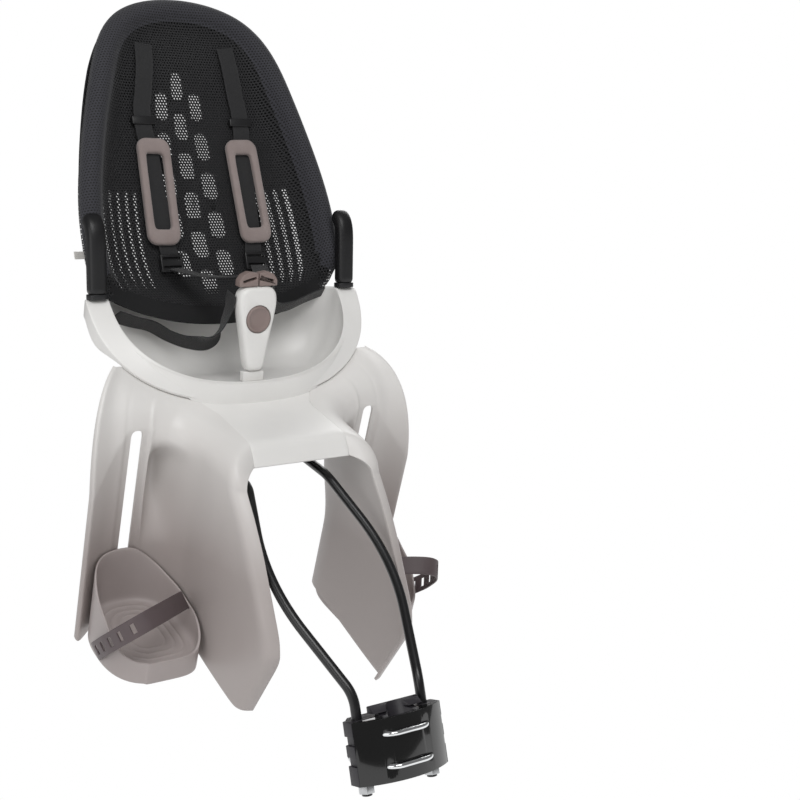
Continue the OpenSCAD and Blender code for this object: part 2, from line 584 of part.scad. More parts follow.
module u_bolt_nuts() color(steel) at_clamp() for (x = [-1, 1]) for (z = [-u_bolt_z, u_bolt_z])
    translate([x * u_bolt_x, 23.2, z]) rotate([-90, 30, 0]) difference() {
        union() {
            cylinder(d = 11.5, h = 6, $fn = 6);
            cylinder(d = 13, h = 1.2);
        }
        translate([0, 0, -1]) cylinder(d = u_bolt_d + 0.1, h = 20);
    }
module fork_washers() color(steel) at_clamp() for (x = [-rod_x, rod_x])
    translate([x, rod_y, -clamp_h / 2 - 2]) difference() {
        cylinder(d = 21, h = 1.9);
        translate([0, 0, -1]) cylinder(d = rod_d + 0.1, h = 20);
    }
module fork_nuts() color(steel) at_clamp() for (x = [-rod_x, rod_x])
    translate([x, rod_y, -clamp_h / 2 - 11.1]) difference() {
        cylinder(d = 20, h = 9, $fn = 6);
        translate([0, 0, -1]) cylinder(d = rod_d + 0.1, h = 20);
    }
module release_latch() color([0.05, 0.05, 0.055]) at_clamp() difference() {
    union() {
        latch_bar(50, [[39, 20], [39, 33], [35, 36], [27, 38], [24, 42], [19, 42], [19, 20]]);
        latch_bar(68, [[31, 40], [28, 43], [24, 46.5], [20, 48], [18, 47], [18, 40]]);
    }
    translate([0, -36, 62]) rotate([-14, 0, 0]) cylinder(r = 19, h = 60, center = true);
}
module latch_bar(w, side) translate([w / 2, 0, 0]) rotate([90, 0, -90]) linear_extrude(w) polygon(side);

// Buckle between the child's legs, in the seat frame
module at_buckle() at_seat() translate([0, -84, 14]) rotate([6.1, 0, 0]) children();
function buckle_half(h) = mix(buckle_w / 2, 15, smooth(-h / buckle_h)) * (h > -6 ? 0.93 : 1);
function buckle_ring(y, shrink) = [for (k = [0:23])
    let (side = k < 12 ? 1 : -1, q = k < 12 ? k : 23 - k, h = -buckle_h * q / 11)
    [side * (buckle_half(h) - shrink) * (q == 0 || q == 11 ? 0.8 : 1), y, h + (q < 6 ? -shrink : shrink)]];
module buckle_body() color(off_white) at_buckle() difference() {
    loft([buckle_ring(0, 4), buckle_ring(2.5, 0.8), buckle_ring(7, 0), buckle_ring(17, 0), buckle_ring(21, 3)]);
    translate([0, -10, -42]) rotate([-90, 0, 0]) cylinder(d = 36 + 2 * fit, h = 14 + button_travel);
}
module buckle_button() color(taupe) at_buckle() translate([0, -1.6, -42]) rotate([-90, 0, 0]) {
    cylinder(d1 = 31, d2 = 36, h = 1.8);
    translate([0, 0, 1.8]) cylinder(d = 36, h = 3.4);
}
module buckle_clip() color(off_white) at_buckle() translate([0, 10, -buckle_h - 6.8]) difference() {
    cube([31, 10, 13], center = true);
    translate([0, 0, -1]) cube([25.6, 4, 7], center = true);
}
module tongue() color(taupe) at_buckle() difference() {
    translate([1, 17, 0.4]) rotate([90, 0, 0]) linear_extrude(13) polygon([[0, 0], [27, 0], [27, 8], [22, 15], [13, 19], [0, 17]]);
    translate([13, 4, 9]) rotate([0, 14, 0]) cube([20, 40, 3.4], center = true);
}

// Harness, in the back frame down to the adjusters and then in the seat frame
function strap_y(h) = panel_y(h) + curl(h) - 5;
shoulder_path = [for (p = [[63, 351], [66, 320], [71, 284], [75, 262], [75, 230], [71.5, 200], [69.5, 140], [67.5, 80], [65, 60], [65, 36]])
    [p[0], strap_y(p[1]), p[1]]];
module shoulder_strap() color(web_black) at_back() band(shoulder_path, [-1, 0, 0], web_w, web_t);
module strap_glide() color(shell_black) at_back() translate([75, strap_y(246) + 0.2, 246]) difference() {
    cube([web_w + 9, 7.2, 11], center = true);
    cube([web_w + 2, 3, 40], center = true);
}
module shoulder_pad() color(taupe) at_back() translate([69.5, strap_y(150) - 0.3, 146]) rotate([0, -1.5, 0]) rotate([90, 0, 0])
    difference() {
        round_plate(pad_w, pad_len, 9, 14);
        translate([0, 0, -1]) round_plate(pad_w * 0.48, pad_len - 47, 12, 5);
    }
module adjuster() color(shell_black) at_back() translate([65, strap_y(47) - 2.9, 47]) difference() {
    cube([web_w + 8, 5, 24], center = true);
    for (z = [-6, 6]) translate([0, 0, z]) cube([web_w + 1, 9, 4], center = true);
}
lower_start = seat_from_back([65, strap_y(40) - 9.5, 38]);
lower_end = [20, -66, 28];
lower_path = [for (k = [0:7]) mix(lower_start, lower_end, k / 7) + [0, 0, -5 * sin(180 * k / 7)]];
module lower_strap() color(web_black) at_seat() band(lower_path, unit([-1, 0.35, 0]), web_w * 0.92, web_t);
// The right waist strap crosses the seat's edge, the left one runs just in front of the back's lower edge
right_waist = [[158, 22, -24], [128, 31, -34], [100, 32, -42], [76, 28, -56], [56, 12, -64], [42, -12, -62],
    [35.5, -36, -44], [31, -54, -16], [30.1, -62, 6]];
left_waist = [[150, -2, -4], [125, 0, -12], [95, 0, -22], [66, -4, -22], [46, -22, -8], [34, -44, 4], [27, -62, 6]];
module waist_strap(path) color(web_black) at_seat() band(path, unit([0, -0.8, 0.6]), web_w, web_t);
module side_tab() color(off_white) at_back() translate([-back_foot_w - 5.6, 8, 60]) cube([14, 1.2, 10], center = true);

module both(side) {
    if (side > 0) children();
    else mirror([1, 0, 0]) children();
}
module left_leg_shield() both(1) leg_shield();
module right_leg_shield() both(-1) leg_shield();
module left_armrest() both(1) armrest();
module right_armrest() both(-1) armrest();
module left_armrest_collar() both(1) armrest_collar();
module right_armrest_collar() both(-1) armrest_collar();
module left_tongue() both(1) tongue();
module right_tongue() both(-1) tongue();
module left_shoulder_strap() both(1) shoulder_strap();
module right_shoulder_strap() both(-1) shoulder_strap();
module left_strap_glide() both(1) strap_glide();
module right_strap_glide() both(-1) strap_glide();
module left_shoulder_pad() both(1) shoulder_pad();
module right_shoulder_pad() both(-1) shoulder_pad();
module left_adjuster() both(1) adjuster();
module right_adjuster() both(-1) adjuster();
module left_lower_strap() both(1) lower_strap();
module right_lower_strap() both(-1) lower_strap();
module left_waist_strap() both(1) waist_strap(left_waist);
module right_waist_strap() both(-1) waist_strap(right_waist);
module left_foot_cup() both(1) foot_cup();
module right_foot_cup() both(-1) foot_cup();
module left_cup_slider() both(1) cup_slider();
module right_cup_slider() both(-1) cup_slider();
module left_slider_plate() both(1) slider_plate();
module right_slider_plate() both(-1) slider_plate();
module left_slider_screws() both(1) slider_screws();
module right_slider_screws() both(-1) slider_screws();
module left_foot_strap() both(1) foot_strap();
module right_foot_strap() both(-1) foot_strap();

seat_pan();
centre_cover();
left_leg_shield();
right_leg_shield();
back_shell();
mesh_cover();
left_armrest();
right_armrest();
left_armrest_collar();
right_armrest_collar();
fork();
fork_carrier();
fork_clamp_plate();
fork_clamp_screws();
clamp_housing();
clamp_cover();
clamp_jaw();
upper_u_bolt();
lower_u_bolt();
u_bolt_nuts();
fork_washers();
fork_nuts();
release_latch();
buckle_body();
buckle_button();
buckle_clip();
left_tongue();
right_tongue();
left_shoulder_strap();
right_shoulder_strap();
left_strap_glide();
right_strap_glide();
left_shoulder_pad();
right_shoulder_pad();
left_adjuster();
right_adjuster();
left_lower_strap();
right_lower_strap();
left_waist_strap();
right_waist_strap();
side_tab();
left_foot_cup();
right_foot_cup();
left_cup_slider();
right_cup_slider();
left_slider_plate();
right_slider_plate();
left_slider_screws();
right_slider_screws();
left_foot_strap();
right_foot_strap();
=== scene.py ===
import math
import bmesh
import bpy
from mathutils import Matrix, Vector


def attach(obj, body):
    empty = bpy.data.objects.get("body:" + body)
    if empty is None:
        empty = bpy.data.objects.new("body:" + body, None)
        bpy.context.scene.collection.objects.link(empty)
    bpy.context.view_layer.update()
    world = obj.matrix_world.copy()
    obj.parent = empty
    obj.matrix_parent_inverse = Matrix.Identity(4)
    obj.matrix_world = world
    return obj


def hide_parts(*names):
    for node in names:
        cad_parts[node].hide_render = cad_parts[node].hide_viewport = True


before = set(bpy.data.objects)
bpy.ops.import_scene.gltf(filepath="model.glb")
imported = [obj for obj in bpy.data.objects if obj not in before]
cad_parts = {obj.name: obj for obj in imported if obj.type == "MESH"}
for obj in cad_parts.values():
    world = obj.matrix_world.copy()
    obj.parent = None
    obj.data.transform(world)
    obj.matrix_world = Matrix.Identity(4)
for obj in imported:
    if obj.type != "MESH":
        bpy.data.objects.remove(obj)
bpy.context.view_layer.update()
print("frame loaded with", len(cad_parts), "nodes")

# Places of the main groups, in millimetres and degrees as the frame has them
place = {
    "seatY": 373, "seatZ": 488, "tubeTilt": 15.5, "shieldTilt": 17.3, "recline": 17.5,
    "deckAt": (0, -72, -134), "backAt": (0, 10, 0),
}


def mix(a, b, t):
    return a + (b - a) * t


def clamp(t):
    return min(max(t, 0.0), 1.0)


def smooth(t):
    c = clamp(t)
    return c * c * (3 - 2 * c)


def power(c, e):
    return math.copysign(abs(c) ** e, c)


def lookup(table, t):  # table of (key, value), keys falling or rising
    rows = sorted(table)
    if t <= rows[0][0]:
        return rows[0][1]
    for (k0, v0), (k1, v1) in zip(rows, rows[1:]):
        if t <= k1:
            return mix(v0, v1, (t - k0) / (k1 - k0))
    return rows[-1][1]


def bezier(a, b, c, t):
    return a.lerp(b, t).lerp(b.lerp(c, t), t)


def runAlong(points):  # the distance from the first point to each of them
    run = [0.0]
    for a, b in zip(points, points[1:]):
        run.append(run[-1] + (b - a).length)
    return run


def headingAt(line, k):
    return (line[min(k + 1, len(line) - 1)] - line[max(k - 1, 0)]).normalized()


def camel(node):  # a node's name as a piece's name, such as leftFootCup for left_foot_cup
    first, *rest = node.split("_")
    return first + "".join(word.capitalize() for word in rest)


def oval(angle, halfWidth, halfLength, n):
    return halfWidth * power(math.cos(angle), 2 / n), halfLength * power(math.sin(angle), 2 / n)


def turnX(degrees):
    return Matrix.Rotation(math.radians(degrees), 4, "X")


milli = Matrix.Scale(0.001, 4)
seatFrame = milli @ Matrix.Translation((0, place["seatY"], place["seatZ"]))
deckFrame = seatFrame @ Matrix.Translation(place["deckAt"]) @ turnX(place["shieldTilt"])
backFrame = seatFrame @ Matrix.Translation(place["backAt"]) @ turnX(-place["recline"])
clampFrame = milli @ turnX(-place["tubeTilt"])
buckleFrame = seatFrame @ Matrix.Translation((0, -84, 14)) @ turnX(6.1)
toDeck = (Matrix.Translation(place["deckAt"]) @ turnX(place["shieldTilt"])).inverted()

# Shader node groups that several finishes share


def newGroup(name, inputs, outputs):
    group = bpy.data.node_groups.new(name, "ShaderNodeTree")
    for socket, value in inputs.items():
        made = group.interface.new_socket(socket, in_out="INPUT", socket_type="NodeSocketFloat")
        made.default_value = value
    for socket, kind in outputs.items():
        group.interface.new_socket(socket, in_out="OUTPUT", socket_type=kind)
    return group, group.nodes.new("NodeGroupInput"), group.nodes.new("NodeGroupOutput")


def mathNode(tree, operation, a, b=None, c=None, clampIt=False):
    node = tree.nodes.new("ShaderNodeMath")
    node.operation = operation
    node.use_clamp = clampIt
    for socket, value in zip(node.inputs, (a, b, c)):
        if value is None:
            continue
        if isinstance(value, (int, float)):
            socket.default_value = value
        else:
            tree.links.new(value, socket)
    return node.outputs[0]


def noiseNode(tree, vector, scale, detail=3.0, roughness=0.5):
    node = tree.nodes.new("ShaderNodeTexNoise")
    node.inputs["Detail"].default_value = detail
    node.inputs["Roughness"].default_value = roughness
    tree.links.new(vector, node.inputs["Vector"])
    if isinstance(scale, (int, float)):
        node.inputs["Scale"].default_value = scale
    else:
        tree.links.new(scale, node.inputs["Scale"])
    return node.outputs["Fac"]


def makeGrainGroup():  # fine moulded grain and slow mottling
    group, source, sink = newGroup(
        "mouldedGrain", {"Scale": 900.0, "Mottle": 14.0},
        {"Height": "NodeSocketFloat", "Mottling": "NodeSocketFloat"})
    where = group.nodes.new("ShaderNodeTexCoord").outputs["Object"]
    fine = noiseNode(group, where, source.outputs["Scale"], 2.0, 0.6)
    slow = noiseNode(group, where, source.outputs["Mottle"], 4.0, 0.55)
    cells = group.nodes.new("ShaderNodeTexVoronoi")
    group.links.new(where, cells.inputs["Vector"])
    group.links.new(source.outputs["Scale"], cells.inputs["Scale"])
    height = mathNode(group, "MULTIPLY_ADD", cells.outputs["Distance"], 0.5, fine)
    group.links.new(height, sink.inputs["Height"])
    group.links.new(slow, sink.inputs["Mottling"])
    return group


def makeMeshGroup():  # staggered round holes of a spacer mesh, laid out on the piece's own UV map in metres
    group, source, sink = newGroup(
        "spacerMesh", {"Pitch": 0.0043, "Hole": 0.3},
        {"Hole": "NodeSocketFloat", "Height": "NodeSocketFloat", "Thread": "NodeSocketFloat"})
    uv = group.nodes.new("ShaderNodeUVMap")
    uv.uv_map = "weave"
    split = group.nodes.new("ShaderNodeSeparateXYZ")
    group.links.new(uv.outputs["UV"], split.inputs[0])
    across = mathNode(group, "DIVIDE", split.outputs["X"], source.outputs["Pitch"])
    rowPitch = mathNode(group, "MULTIPLY", source.outputs["Pitch"], 0.86)
    along = mathNode(group, "DIVIDE", split.outputs["Y"], rowPitch)
    row = mathNode(group, "FLOOR", along)
    shifted = mathNode(group, "MULTIPLY_ADD", row, 0.5, across)
    fx = mathNode(group, "SUBTRACT", mathNode(group, "FRACT", shifted), 0.5)
    fy = mathNode(group, "SUBTRACT", mathNode(group, "FRACT", along), 0.5)
    squares = mathNode(group, "ADD", mathNode(group, "MULTIPLY", fx, fx), mathNode(group, "MULTIPLY", fy, fy))
    far = mathNode(group, "SQRT", squares)
    edge = mathNode(group, "SUBTRACT", source.outputs["Hole"], far)
    hole = mathNode(group, "MULTIPLY", edge, 14.0, clampIt=True)
    group.links.new(hole, sink.inputs["Hole"])
    height = mathNode(group, "SUBTRACT", 1.0, hole)
    group.links.new(height, sink.inputs["Height"])
    stripes = mathNode(group, "SINE", mathNode(group, "MULTIPLY", shifted, 25.13))
    thread = mathNode(group, "MULTIPLY_ADD", stripes, 0.5, 0.5)
    group.links.new(thread, sink.inputs["Thread"])
    return group


def makeWebbingGroup():  # cross ribs and woven edges of webbing: U runs along, V across, both in metres
    group, source, sink = newGroup(
        "webbingWeave", {"Rib": 0.0016, "Yarn": 0.0011, "Width": 0.025},
        {"Height": "NodeSocketFloat", "Shade": "NodeSocketFloat"})
    uv = group.nodes.new("ShaderNodeUVMap")
    uv.uv_map = "weave"
    split = group.nodes.new("ShaderNodeSeparateXYZ")
    group.links.new(uv.outputs["UV"], split.inputs[0])

    def wave(axis, pitch):
        turns = mathNode(group, "DIVIDE", split.outputs[axis], source.outputs[pitch])
        return mathNode(group, "SINE", mathNode(group, "MULTIPLY", turns, 2 * math.pi))

    ribs = wave("X", "Rib")
    yarns = wave("Y", "Yarn")
    woven = mathNode(group, "MULTIPLY", ribs, yarns)
    height = mathNode(group, "MULTIPLY_ADD", woven, 0.35, mathNode(group, "MULTIPLY_ADD", ribs, 0.2, 0.5))
    group.links.new(height, sink.inputs["Height"])
    side = mathNode(group, "ABSOLUTE", mathNode(group, "DIVIDE", split.outputs["Y"], source.outputs["Width"]))
    band = mathNode(group, "MULTIPLY", mathNode(group, "SUBTRACT", side, 0.4), 12.0, clampIt=True)
    shade = mathNode(group, "MULTIPLY_ADD", woven, 0.25, mathNode(group, "MULTIPLY_ADD", band, 0.3, 0.35))
    group.links.new(shade, sink.inputs["Shade"])
    return group


def makeKnitGroup():  # soft knitted surface with a nap
    group, source, sink = newGroup(
        "knitNap", {"Scale": 420.0},
        {"Height": "NodeSocketFloat", "Shade": "NodeSocketFloat"})
    where = group.nodes.new("ShaderNodeTexCoord").outputs["Object"]
    cells = group.nodes.new("ShaderNodeTexVoronoi")
    group.links.new(where, cells.inputs["Vector"])
    group.links.new(source.outputs["Scale"], cells.inputs["Scale"])
    nap = noiseNode(group, where, mathNode(group, "MULTIPLY", source.outputs["Scale"], 2.3), 3.0, 0.7)
    knots = mathNode(group, "SUBTRACT", 1.0, cells.outputs["Distance"])
    height = mathNode(group, "MULTIPLY_ADD", nap, 0.6, knots)
    group.links.new(height, sink.inputs["Height"])
    slow = noiseNode(group, where, 38.0, 3.0, 0.6)
    shade = mathNode(group, "MULTIPLY_ADD", nap, 0.4, mathNode(group, "MULTIPLY", slow, 0.6))
    group.links.new(shade, sink.inputs["Shade"])
    return group


grainGroup = makeGrainGroup()
meshGroup = makeMeshGroup()
webbingGroup = makeWebbingGroup()
knitGroup = makeKnitGroup()


def newMaterial(name, roughness, **sockets):
    material = bpy.data.materials.new(name)
    material.use_nodes = True
    tree = material.node_tree
    shader = tree.nodes["Principled BSDF"]
    shader.inputs["Roughness"].default_value = roughness
    for socket, value in sockets.items():
        shader.inputs[socket.replace("_", " ")].default_value = value
    return material, tree, shader


def useGroup(tree, group, **values):
    node = tree.nodes.new("ShaderNodeGroup")
    node.node_tree = group
    for socket, value in values.items():
        node.inputs[socket].default_value = value
    return node


def colourRamp(tree, factor, low, high, lowAt=0.0, highAt=1.0):
    ramp = tree.nodes.new("ShaderNodeValToRGB")
    ramp.color_ramp.elements[0].position = lowAt
    ramp.color_ramp.elements[0].color = (*low, 1)
    ramp.color_ramp.elements[1].position = highAt
    ramp.color_ramp.elements[1].color = (*high, 1)
    tree.links.new(factor, ramp.inputs["Fac"])
    return ramp.outputs["Color"]


def spread(tree, factor, low, high):
    node = tree.nodes.new("ShaderNodeMapRange")
    node.inputs["To Min"].default_value = low
    node.inputs["To Max"].default_value = high
    tree.links.new(factor, node.inputs["Value"])
    return node.outputs["Result"]


def addBump(tree, shader, height, distance, strength=1.0):
    node = tree.nodes.new("ShaderNodeBump")
    node.inputs["Distance"].default_value = distance
    node.inputs["Strength"].default_value = strength
    tree.links.new(height, node.inputs["Height"])
    tree.links.new(node.outputs["Normal"], shader.inputs["Normal"])


def dress(tree, shader, colour, roughness, height, depth):
    tree.links.new(colour, shader.inputs["Base Color"])
    tree.links.new(roughness, shader.inputs["Roughness"])
    addBump(tree, shader, height, depth)


def grained(name, low, high, roughLow, roughHigh, scale, depth, mottle=14.0, **sockets):
    material, tree, shader = newMaterial(name, roughLow, **sockets)
    grain = useGroup(tree, grainGroup, Scale=scale, Mottle=mottle)
    mottling = grain.outputs["Mottling"]
    dress(tree, shader, colourRamp(tree, mottling, low, high, 0.3, 0.7),
          spread(tree, mottling, roughLow, roughHigh), grain.outputs["Height"], depth)
    return material


def knitFabric(name, low, high, scale, depth, **sockets):
    material, tree, shader = newMaterial(name, 0.9, **sockets)
    knit = useGroup(tree, knitGroup, Scale=scale)
    shade = knit.outputs["Shade"]
    dress(tree, shader, colourRamp(tree, shade, low, high, 0.25, 0.75),
          spread(tree, shade, 0.8, 0.98), knit.outputs["Height"], depth)
    return material


shellWhite = grained("shellWhite", (0.80, 0.79, 0.77), (0.83, 0.82, 0.80), 0.30, 0.36, 700, 0.00002)
cupTaupe = grained("cupTaupe", (0.40, 0.352, 0.342), (0.43, 0.382, 0.372), 0.40, 0.47, 800, 0.00003)
backBlack = grained("backBlack", (0.012, 0.012, 0.013), (0.017, 0.017, 0.019), 0.42, 0.5, 900, 0.00004)
clampGrey = grained("clampGrey", (0.020, 0.018, 0.023), (0.028, 0.025, 0.031), 0.4, 0.5, 900, 0.00004)
coverGloss = grained("coverGloss", (0.004, 0.004, 0.004), (0.006, 0.006, 0.006), 0.08, 0.12, 60, 0.00001,
                     Coat_Weight=0.5, Coat_Roughness=0.03)
buckleBlack = grained("buckleBlack", (0.009, 0.009, 0.010), (0.014, 0.014, 0.015), 0.3, 0.38, 900, 0.00002)
buttonTaupe = grained("buttonTaupe", (0.235, 0.178, 0.165), (0.265, 0.205, 0.19), 0.38, 0.46, 700, 0.00002)
gripBlack = grained("gripBlack", (0.006, 0.006, 0.007), (0.010, 0.010, 0.011), 0.38, 0.48, 1200, 0.00003)
strapRubber = grained("strapRubber", (0.098, 0.074, 0.078), (0.118, 0.090, 0.094), 0.46, 0.55, 1100, 0.00003)
rodBlack = grained("rodBlack", (0.005, 0.005, 0.006), (0.008, 0.008, 0.009), 0.28, 0.38, 500, 0.00003,
                   mottle=30, Coat_Weight=0.2, Coat_Roughness=0.15)
zincSteel = grained("zincSteel", (0.52, 0.53, 0.54), (0.66, 0.67, 0.68), 0.24, 0.4, 260, 0.00002,
                    mottle=90, Metallic=1.0)
brightChrome = grained("brightChrome", (0.80, 0.81, 0.82), (0.86, 0.87, 0.88), 0.05, 0.1, 120, 0.000006,
                       mottle=30, Metallic=1.0)
padFabric = knitFabric("padFabric", (0.225, 0.178, 0.168), (0.315, 0.262, 0.25), 900, 0.0003,
                       Sheen_Weight=0.3, Sheen_Roughness=0.5)
tabFabric = knitFabric("tabFabric", (0.62, 0.60, 0.57), (0.70, 0.68, 0.65), 1500, 0.00012)
bandFabric = knitFabric("bandFabric", (0.005, 0.005, 0.006), (0.010, 0.010, 0.011), 900, 0.0002,
                        Sheen_Weight=0.05)


def makeShieldFinish():  # off-white at the deck, turning warm grey down the walls
    material, tree, shader = newMaterial("shieldTaupe", 0.38)
    grain = useGroup(tree, grainGroup, Scale=800, Mottle=14)
    where = tree.nodes.new("ShaderNodeTexCoord").outputs["Object"]
    split = tree.nodes.new("ShaderNodeSeparateXYZ")
    tree.links.new(where, split.inputs[0])
    above = mathNode(tree, "SUBTRACT", split.outputs["Z"], 0.17)
    height = mathNode(tree, "DIVIDE", above, 0.19, clampIt=True)
    wide = mathNode(tree, "ABSOLUTE", split.outputs["X"])
    inner = mathNode(tree, "MULTIPLY", mathNode(tree, "SUBTRACT", 0.12, wide), 5.0, clampIt=True)
    share = mathNode(tree, "ADD", height, inner, clampIt=True)
    mottling = grain.outputs["Mottling"]
    toned = mathNode(tree, "MULTIPLY_ADD", mottling, 0.06, mathNode(tree, "MULTIPLY", share, 0.94))
    dress(tree, shader, colourRamp(tree, toned, (0.40, 0.352, 0.338), (0.78, 0.765, 0.745)),
          spread(tree, mottling, 0.36, 0.43), grain.outputs["Height"], 0.00003)
    return material


shieldTaupe = makeShieldFinish()


def makeWebbing():
    material, tree, shader = newMaterial("webbing", 0.7, Sheen_Weight=0.2, Sheen_Roughness=0.4)
    weave = useGroup(tree, webbingGroup)
    shade = weave.outputs["Shade"]
    dress(tree, shader, colourRamp(tree, shade, (0.005, 0.005, 0.006), (0.030, 0.030, 0.032)),
          spread(tree, shade, 0.55, 0.8), weave.outputs["Height"], 0.0003)
    return material


def makeMeshFabric(name, hole, open_, low, high):
    material, tree, shader = newMaterial(name, 0.8, Sheen_Weight=0.12, Sheen_Roughness=0.5)
    weave = useGroup(tree, meshGroup, Pitch=0.0043, Hole=hole)
    thread = mathNode(tree, "MULTIPLY_ADD", weave.outputs["Thread"], 0.4, 0.6)
    solid = mathNode(tree, "MULTIPLY", weave.outputs["Height"], thread)
    tree.links.new(spread(tree, weave.outputs["Hole"], 1.0, 1.0 - open_), shader.inputs["Alpha"])
    dress(tree, shader, colourRamp(tree, solid, low, high),
          spread(tree, weave.outputs["Thread"], 0.7, 0.9), weave.outputs["Height"], 0.0006)
    return material


webbing = makeWebbing()
meshOpen = makeMeshFabric("meshOpen", 0.36, 0.9, (0.006, 0.006, 0.007), (0.016, 0.016, 0.018))
# the padded roll: its lighter blue-grey thread stripes are partly the woven threads and partly a painted
# highlight standing in for the sheen on the roll
meshRollPaintedSheen = makeMeshFabric("meshRollPaintedSheen", 0.32, 0.0, (0.005, 0.005, 0.006), (0.040, 0.040, 0.050))
print("finishes made")

# Making meshes


def clearSelection():
    bpy.ops.object.select_all(action="DESELECT")


def active():
    return bpy.context.view_layer.objects.active


def useOnly(obj):
    clearSelection()
    obj.select_set(True)
    bpy.context.view_layer.objects.active = obj


def editAll(obj, *steps):  # mesh operators on the whole mesh
    useOnly(obj)
    bpy.ops.object.mode_set(mode="EDIT")
    bpy.ops.mesh.select_all(action="SELECT")
    for step in steps:
        step()
    bpy.ops.object.mode_set(mode="OBJECT")


def settle(obj):  # place, turn and size go into the mesh
    useOnly(obj)
    bpy.ops.object.transform_apply(location=True, rotation=True, scale=True)


def applyAll(obj):
    useOnly(obj)
    for modifier in list(obj.modifiers):
        bpy.ops.object.modifier_apply(modifier=modifier.name)


def addBevel(obj, width, segments=3, angle=35):
    modifier = obj.modifiers.new("edges", "BEVEL")
    modifier.width = width
    modifier.segments = segments
    modifier.limit_method = "ANGLE"
    modifier.angle_limit = math.radians(angle)
    modifier.harden_normals = False


def addWall(obj, thickness, offset=-1.0):
    modifier = obj.modifiers.new("wall", "SOLIDIFY")
    modifier.thickness = thickness
    modifier.offset = offset
    modifier.use_even_offset = True
    modifier.use_quality_normals = True


def addSubdivision(obj, levels, keepCorners=False):
    modifier = obj.modifiers.new("smooth", "SUBSURF")
    modifier.boundary_smooth = "PRESERVE_CORNERS" if keepCorners else "ALL"
    modifier.levels = levels
    modifier.render_levels = levels


def smoothShade(obj, angle=40):
    useOnly(obj)
    bpy.ops.object.shade_smooth_by_angle(angle=math.radians(angle))


def finishPiece(obj, node, material, body="seat", name=None):  # the piece that is shown for a node
    title = name or camel(node)
    obj.name = title
    obj.data.name = title
    obj.data.materials.clear()
    obj.data.materials.append(material)
    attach(obj, body)
    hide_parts(node)
    return obj


def gridPiece(surface, rows, columns, place_=seatFrame, closed=False, gap=None, uv=None):
    # a grid primitive whose points move to surface(row share, column share), in millimetres
    clearSelection()
    bpy.ops.mesh.primitive_grid_add(x_subdivisions=columns, y_subdivisions=rows, size=1)
    obj = active()
    mesh = obj.data
    shares = [((v.co.y + 0.5), (v.co.x + 0.5)) for v in mesh.vertices]
    layer = None
    if uv:
        while mesh.uv_layers:
            mesh.uv_layers.remove(mesh.uv_layers[0])
        layer = mesh.uv_layers.new(name="weave")
        for loop in mesh.loops:
            layer.data[loop.index].uv = uv(*shares[loop.vertex_index])
    for vertex, (row, column) in zip(mesh.vertices, shares):
        vertex.co = place_ @ Vector(surface(row, column))
    if gap:
        shape = bmesh.new()
        shape.from_mesh(mesh)
        middles = {}
        for face in shape.faces:
            rowMid = sum(shares[v.index][0] for v in face.verts) / len(face.verts)
            columnMid = sum(shares[v.index][1] for v in face.verts) / len(face.verts)
            middles[face.index] = (rowMid, columnMid)
        gone = [f for f in shape.faces if gap(*middles[f.index])]
        bmesh.ops.delete(shape, geom=gone, context="FACES")
        shape.to_mesh(mesh)
        shape.free()
    if closed:
        editAll(obj, lambda: bpy.ops.mesh.remove_doubles(threshold=0.00002))
    return obj


def mirrorCopy(obj):  # the same piece on the child's right
    useOnly(obj)
    bpy.ops.object.duplicate()
    copy = active()
    copy.parent = None
    copy.scale = (-1, 1, 1)
    settle(copy)
    editAll(copy, bpy.ops.mesh.flip_normals)
    return copy


def bothSides(obj, part, material, body=None):  # body is a moving body's name without its side
    other = mirrorCopy(obj)
    for side, piece in (("left_", obj), ("right_", other)):
        finishPiece(piece, side + part, material, side + body if body else "seat")
    return obj, other


def rightSideOut(obj):  # flips a closed mesh whose faces point inwards
    shape = bmesh.new()
    shape.from_mesh(obj.data)
    if shape.calc_volume(signed=True) < 0:
        bmesh.ops.reverse_faces(shape, faces=shape.faces)
    shape.to_mesh(obj.data)
    shape.free()
    return obj


def flipFaces(obj):
    shape = bmesh.new()
    shape.from_mesh(obj.data)
    bmesh.ops.reverse_faces(shape, faces=shape.faces)
    shape.to_mesh(obj.data)
    shape.free()


def asRow(share, count):
    return min(int(round(share * count)), count)


# Seat pan

pan = {
    "halfWidth": 174, "rimLength": 133, "slope": 54, "band": 32, "skirt": 24, "depth": 112, "wall": 4,
    "rear": 68, "frontPower": 2.35, "rearPower": 2.6, "rearBand": 10, "around": 112,
}
panSlope = math.radians(pan["slope"])


def rimPoint(angle, halfWidth, length, rear, drop):
    c, s = math.cos(angle), math.sin(angle)
    e = pan["rearPower"] if s > 0 else pan["frontPower"]
    d = length * (-s) ** (2 / e) if s < 0 else 0
    y = rear * s ** (2 / e) if s > 0 else 0
    return Vector((halfWidth * power(c, 2 / e),
                   y - d * math.cos(panSlope) + drop * math.sin(panSlope),
                   -d * math.sin(panSlope) - drop * math.cos(panSlope)))


def bandAt(angle):
    s = math.sin(angle)
    return pan["band"] if s <= 0 else mix(pan["band"], pan["rearBand"], smooth(s * 2.6))


def skirtAt(angle):
    s = math.sin(angle)
    return mix(pan["skirt"], 8, smooth(s * 2.6)) if s > 0 else mix(4, pan["skirt"], smooth((0.55 + s) / 0.4))


def bandPoint(angle, share):  # 0 at the outer edge, 1 at the inner edge
    s = max(0, -math.sin(angle))
    width = pan["halfWidth"] + bandAt(angle) * (1 - share)
    length = pan["rimLength"] + 20 * (1 - share)
    rear = pan["rear"] + pan["rearBand"] * (1 - share)
    return rimPoint(angle, width, length, rear, 14 * s * (1 - share))


def skirtLow(angle, share=1.0):
    o = bandPoint(angle, 0)
    s = max(0, -math.sin(angle))
    k = skirtAt(angle) * share
    back_, down = mix(0.25, math.sin(panSlope), s), mix(0.97, math.cos(panSlope), s)
    return Vector((o.x, o.y + k * back_, o.z - k * down))


